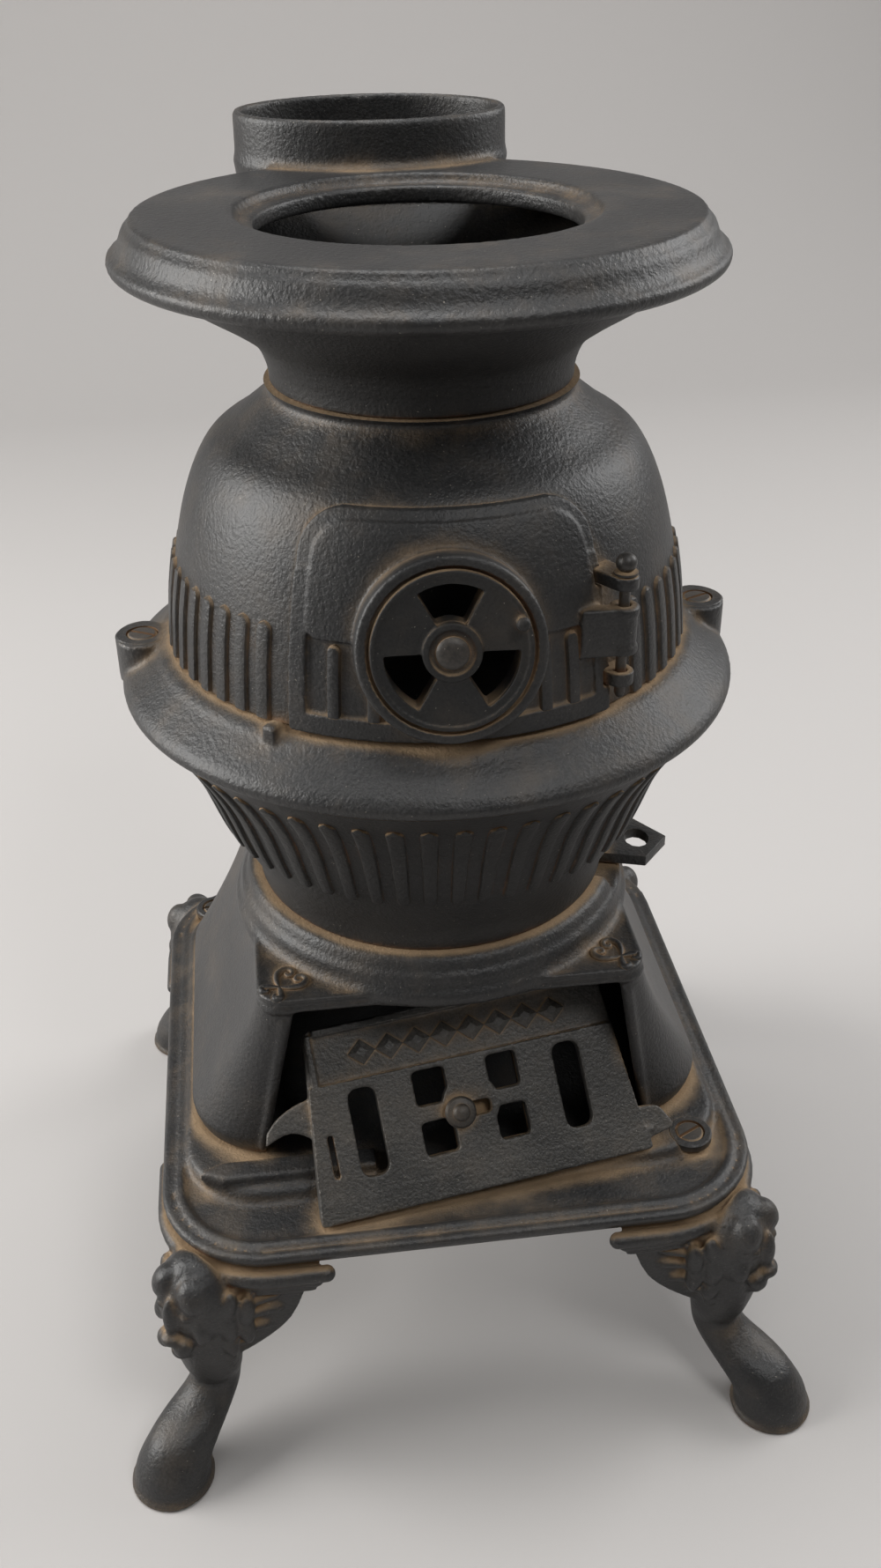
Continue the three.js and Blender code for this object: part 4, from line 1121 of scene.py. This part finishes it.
# %% [markdown]
# ## Ash door
# The ash door is a loose plate that leans into the pit's mouth. It has two tall slots, four small windows
# with a slide behind them, a sunk band across the top, a thick lip at its foot, and a hook and an ear at
# its ends. It is drawn flat and then leaned as the construction has it.

# %% Ash door casting
DOOR_LEAN = Euler((math.radians(-40), math.radians(-3.05), math.radians(5.82)), "YXZ").to_matrix().to_4x4()
ASH_PLACE = Matrix.Translation((-39.7, -79.1, 77.3)) @ DOOR_LEAN
MIDDLE, HEIGHT, FOOT_HALF, HEAD_HALF = 47.0, 53.4, 48.5, 43.4


def window(x0, x1, z0, z1, corner=1.6, y0=-6, y1=14):
    """A cutter for an opening with round corners."""
    return pushed(eased(rectangle(x0, x1, z0, z1), corner, 4), y0, y1)


def door_outline(inset, high=HEIGHT):
    """The door's plate up to a level, drawn in by an inset."""
    half = [(FOOT_HALF + (HEAD_HALF - FOOT_HALF) * z / HEIGHT - inset, z) for z in (0, high)]
    corners = [(half[0][0], inset), (half[1][0], high - inset)]
    return [(MIDDLE + x, z) for x, z in corners] + [(MIDDLE - x, z) for x, z in reversed(corners)]


WINDOWS = [(31.3, 40.9, 26, 36), (53, 61.9, 26, 36), (31.3, 40.9, 12, 21.5), (53, 61.9, 12, 21.5)]
SLOTS = [(12.5, 20.5, 10.5, 35), (72.5, 80.5, 10.5, 35)]
knob_slot = window(40.6, 52.1, 20.4, 24.4, 1.4)
slit = window(4.8, 6.4, 12, 24, 0.7)
foot_cut = moved(block(-20, 120, -10, 20, -20, 0), Matrix.Rotation(math.radians(40), 4, "X"))
boss = cut(pushed(oval(46.6, 23.9, 8.2, 8.2), -1.15, 2.8), knob_slot)
cutters = [window(*hole) for hole in WINDOWS] + [window(*hole, corner=3.2) for hole in SLOTS]
cutters += [knob_slot, slit, foot_cut]
panel = cut(pushed(eased(door_outline(0), 2.6, 4), 0.2, 2.9), *cutters)
lower_panel = cut(pushed(eased(door_outline(0.2, 37.8), 0.6, 2), -1.15, 1), *cutters)
lip = cut(pushed(eased([(-1.2, 0), (96, 0), (95.4, 6.4), (-0.6, 6.4)], 1.2), -1.2, 1.5), foot_cut)
roll = cut(swept([(x, -0.1, 5.3) for x in np.linspace(-0.6, 97, 30)], [1.1] * 30, 10), foot_cut)
top_rim = pushed(eased(rectangle(6, 88, 51.2, 53.3), 0.6), -1.1, 1)
left_rim = pushed(eased([(3.4, 38), (5.4, 38), (5.4, 52), (3.8, 52)], 0.6), -0.8, 1)
hook = pushed(catmull([(3, 22), (-1.4, 25.6), (-6, 26.8), (-12, 24.8)], 10)
              + catmull([(-11.2, 28), (-7.6, 31.4), (-2, 34), (3, 35)], 8), 0.2, 2.8)
ear_piece = pushed(eased([(91, 1), (96, 3), (104, 4.6), (100.2, 11.6), (91, 12.4)], 2.0, 3), -0.6, 2.8)
rails = [
    block(23.2, 72.8, *sides)
    for sides in ((2.5, 5.1, 8.1, 9.6), (5, 6.1, 8.1, 11.3), (2.5, 5.1, 38.4, 40.4), (5, 6.1, 36.7, 40.4))
]
ear_piece = cut(ear_piece, foot_cut)
ash_parts = [panel, lower_panel, boss, lip, roll, top_rim, left_rim, hook, ear_piece, *rails]
ash_door = casting("ash_door_casting", [moved(part, ASH_PLACE) for part in ash_parts], 0.42, 2)
finish_piece(ash_door, "ash_door", material=ASH_IRON, body="ash_door")

# %% Lozenges on the band
def row_tree(material):
    """Repeats a piece along a straight line."""
    graph, (piece, count, step) = begin_tree("in_a_row", count="Int", step="Vector")
    line = graph.node("GeometryNodeMeshLine", {"mode": "OFFSET"}, {"Count": count, "Offset": step})
    copies = graph.node("GeometryNodeInstanceOnPoints", None, {"Points": line, "Instance": piece})
    return end_tree(graph, copies, material)


first_x, last_x, lozenges = 19.0, 75.0, 8


def diamond(wide, tall):
    return [(wide, 0), (0, tall), (-wide, 0), (0, -tall)]


lozenge = lofted([(0.6, diamond(4, 3.6)), (-0.6, diamond(4, 3.6)), (-1.5, diamond(1.6, 1.4))])
swap_axes = Matrix(((1, 0, 0, 0), (0, 0, 1, 0), (0, 1, 0, 0), (0, 0, 0, 1)))
upright_turn = Matrix.Translation((first_x, 0.2, 44.6)) @ swap_axes
studs = shaped("band_lozenges", moved(moved(lozenge, upright_turn), ASH_PLACE))
step = DOOR_LEAN.to_3x3() @ Vector(((last_x - first_x) / (lozenges - 1) * MM, 0, 0))
smooth(run_tree(studs, row_tree(ASH_IRON), count=lozenges, step=step), 25)
finish_piece(studs, material=ASH_IRON, body="ash_door")

# %% Slide knob
knob_stand = Matrix.Translation((42.6, 0, 22.4)) @ Matrix.Rotation(math.pi / 2, 4, "X")
slide_knob = plain("slide_knob_turned", moved(turned([
    (0, 6.3), (1.4, 6.2), (2.2, 5.6), (2.5, 5.0), (3.9, 4.6), (4.5, 3.7), (4.1, 2.6), (3.2, 1.7), (1.6, 1.6),
    (1.6, -5.2), (3, -5.2), (2.4, -6.5), (0, -6.5),
], 48), ASH_PLACE @ knob_stand))
finish_piece(slide_knob, "slide_knob", material=STEEL, body="draft_slide")

# %% [markdown]
# ## Screws and nuts
# All screws are alike, and so are the nuts. One of each is modelled, and a tree sets copies at the places
# that the construction gives, each turned a little differently by a fixed seed.

# %% A tree that sets a piece at many places
def places_tree(material):
    """Sets a piece at each given point, turned by chance."""
    graph, (places, piece, seed) = begin_tree("at_places", piece="Object", seed="Int")
    shape = graph.node("GeometryNodeObjectInfo", None, {"Object": piece}, "Geometry")
    spin_range = {2: -0.7, 3: 0.9, "Seed": seed}
    spin = graph.node("FunctionNodeRandomValue", {"data_type": "FLOAT"}, spin_range, 1)
    turn = graph.node("ShaderNodeCombineXYZ", None, {"Z": spin})
    inputs = {"Points": places, "Instance": shape, "Rotation": turn}
    return end_tree(graph, graph.node("GeometryNodeInstanceOnPoints", None, inputs), material)


PLACES_TREE = places_tree(STEEL)


def set_out(name, pattern, replaced, seed, top=True):
    """Copies of a pattern at the top, or the foot, of the CAD nodes that they replace."""
    corners = [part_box(node) for node in replaced]
    points = [((low.x + high.x) / 2, (low.y + high.y) / 2, high.z if top else low.z) for low, high in corners]
    mesh = bpy.data.meshes.new(name)
    mesh.from_pydata(points, [], [])
    obj = run_tree(as_object(name, mesh), PLACES_TREE, piece=pattern, seed=seed)
    obj.data.set_sharp_from_angle(angle=math.radians(35))
    return finish_piece(obj, *replaced, material=STEEL, slot="dark_steel")


def screw_pattern(length):
    """A flat round-headed screw whose head tops out at z = 0."""
    profile = [(0, 0), (3.4, -0.05), (3.95, -0.5), (3.95, -2.3), (1.8, -2.3), (1.8, -length), (0, -length)]
    return shaped("screw_pattern", cut(turned(profile, 40), block(-5, 5, -0.5, 0.5, -1.2, 1)))


long_screw, short_screw = screw_pattern(27.7), screw_pattern(19.2)
nut_levels = ((0.1, 3.2), (0.6, 3.6), (2.7, 3.6), (3.1, 3.2))
hexagons = lofted([(z, oval(0, 0, radius, radius, 0, 6)) for z, radius in nut_levels])
nut_pattern = shaped("nut_pattern", cut(hexagons, rod(2.0, -1, 5)))
set_out("ring_screws", long_screw, ["ring_right_screw", "ring_left_screw"], 4)
leg_screws = ["leg_front_right_screw", "leg_back_left_screw", "leg_back_right_screw"]
set_out("leg_screws", short_screw, leg_screws, 7)
nut_names = sorted(name for name in nodes if name.endswith("_nut"))
set_out("all_nuts", nut_pattern, nut_names, 2, top=False)
for used in (long_screw, short_screw, nut_pattern):
    bpy.data.objects.remove(used)


# %% [markdown]
# ## Shaker bar
# The bar's end is a flat pointed eye, cast with the bar. The construction's bar has the right outline, so
# a copy of it is bevelled rather than drawn again.

# %% Bevelled copy of the bar
def bevelled(name, node, width, material, slot):
    mesh = nodes[node].data.copy()
    mesh.name = name
    work = bmesh.new()
    work.from_mesh(mesh)
    bmesh.ops.remove_doubles(work, verts=work.verts, dist=1e-6)
    bmesh.ops.dissolve_limit(work, angle_limit=math.radians(2), verts=work.verts, edges=work.edges)
    work.to_mesh(mesh)
    work.free()
    obj = as_object(name, mesh)
    edge = obj.modifiers.new("edge", "BEVEL")
    edge.width = width * MM
    edge.segments = 3
    edge.limit_method = "ANGLE"
    edge.angle_limit = math.radians(40)
    smooth(baked(obj), 50)
    return finish_piece(obj, node, material=material, body=nodes[node]["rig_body"], slot=slot)


bevelled("shaker_bar_edged", "shaker_bar", 0.5, BLACK_IRON, "black_iron")
bevelled("grate_edged", "grate", 0.5, INNER_IRON, "fired_iron")
bevelled("draft_slide_edged", "draft_slide", 0.3, INNER_IRON, "fired_iron")

# %% Finish of the construction's own pieces
turned_steel = ("grate_pivot", "leg_front_left_screw")
for name, obj in nodes.items():
    obj.data.materials.clear()
    obj.data.materials.append(STEEL if name in turned_steel else BLACK_IRON)


# %% [markdown]
# ## Light, floor and camera
# The stove stands on a pale sweep of paper. Large soft lamps on the left and the right give the long
# sheens down the sides, one above lights the plate and the deck, and a small one in front lifts the dome
# and the doors.

# %% Floor and backdrop
def paper(name, colour):
    material = bpy.data.materials.new(name)
    material.use_nodes = True
    shader = material.node_tree.nodes["Principled BSDF"]
    shader.inputs["Base Color"].default_value = colour
    shader.inputs["Roughness"].default_value = 0.9
    shader.inputs["Specular IOR Level"].default_value = 0.1
    return material


bend_y, bend_radius, height = 900.0, 500.0, 2600.0
profile = [(-1600.0, 0.0), (bend_y, 0.0)]
for a in np.linspace(0.1, math.pi / 2, 12):
    profile.append((bend_y + bend_radius * math.sin(a), bend_radius * (1 - math.cos(a))))
profile += [(bend_y + bend_radius, height)]
sweep_points = [(x * MM, y * MM, z * MM) for y, z in profile for x in (-2500.0, 2500.0)]
sweep_mesh = bpy.data.meshes.new("paper_sweep")
sweep_faces = [(2 * i, 2 * i + 1, 2 * i + 3, 2 * i + 2) for i in range(len(profile) - 1)]
sweep_mesh.from_pydata(sweep_points, [], sweep_faces)
sweep = smooth(as_object("paper_sweep", sweep_mesh))
sweep_mesh.materials.append(paper("pale_paper", (0.43, 0.415, 0.405, 1)))

# %% Lamps
def lamp(name, place, aim, size, power, colour=(1, 1, 1)):
    data = bpy.data.lights.new(name, "AREA")
    data.shape = "DISK"
    data.size = size
    data.energy = power
    data.color = colour
    obj = bpy.data.objects.new(name, data)
    obj.location = place
    obj.rotation_euler = (Vector(aim) - Vector(place)).to_track_quat("-Z", "Y").to_euler()
    scene.collection.objects.link(obj)


lamp("left_lamp", (-1.15, 0.1, 0.66), (0, 0, 0.2), 0.9, 21, (1, 0.99, 0.97))
lamp("right_lamp", (1.1, 0.35, 0.8), (0, 0, 0.2), 0.8, 10)
lamp("front_lamp", (0.42, -0.72, 1.3), (0, 0, 0.2), 0.45, 5)
lamp("top_lamp", (-0.1, 0.15, 1.5), (0, 0, 0.1), 0.8, 12)
world = bpy.data.worlds.new("soft_room")
world.use_nodes = True
world.node_tree.nodes["Background"].inputs["Color"].default_value = (0.80, 0.79, 0.78, 1)
world.node_tree.nodes["Background"].inputs["Strength"].default_value = 0.19
scene.world = world
scene.view_settings.view_transform = "Standard"

# %% Camera
yaw, down, roll = math.radians(-7.01), math.radians(31.62), math.radians(-0.80)
forward = Vector((-math.sin(yaw) * math.cos(down), math.cos(yaw) * math.cos(down), -math.sin(down)))
level_right = Vector((math.cos(yaw), math.sin(yaw), 0))
level_up = level_right.cross(forward)
right = math.cos(roll) * level_right + math.sin(roll) * level_up
upward = -math.sin(roll) * level_right + math.cos(roll) * level_up
camera_data = bpy.data.cameras.new("photo_camera")
camera_data.sensor_width = 36
camera_data.lens = 1687.8 / 1780 * 36
camera = bpy.data.objects.new("photo_camera", camera_data)
turn = Matrix((right, upward, -forward)).transposed().to_4x4()
camera.matrix_world = Matrix.Translation((-0.0417, -0.3658, 0.3955)) @ turn
scene.collection.objects.link(camera)
scene.camera = camera
print("lens", round(camera_data.lens, 2))
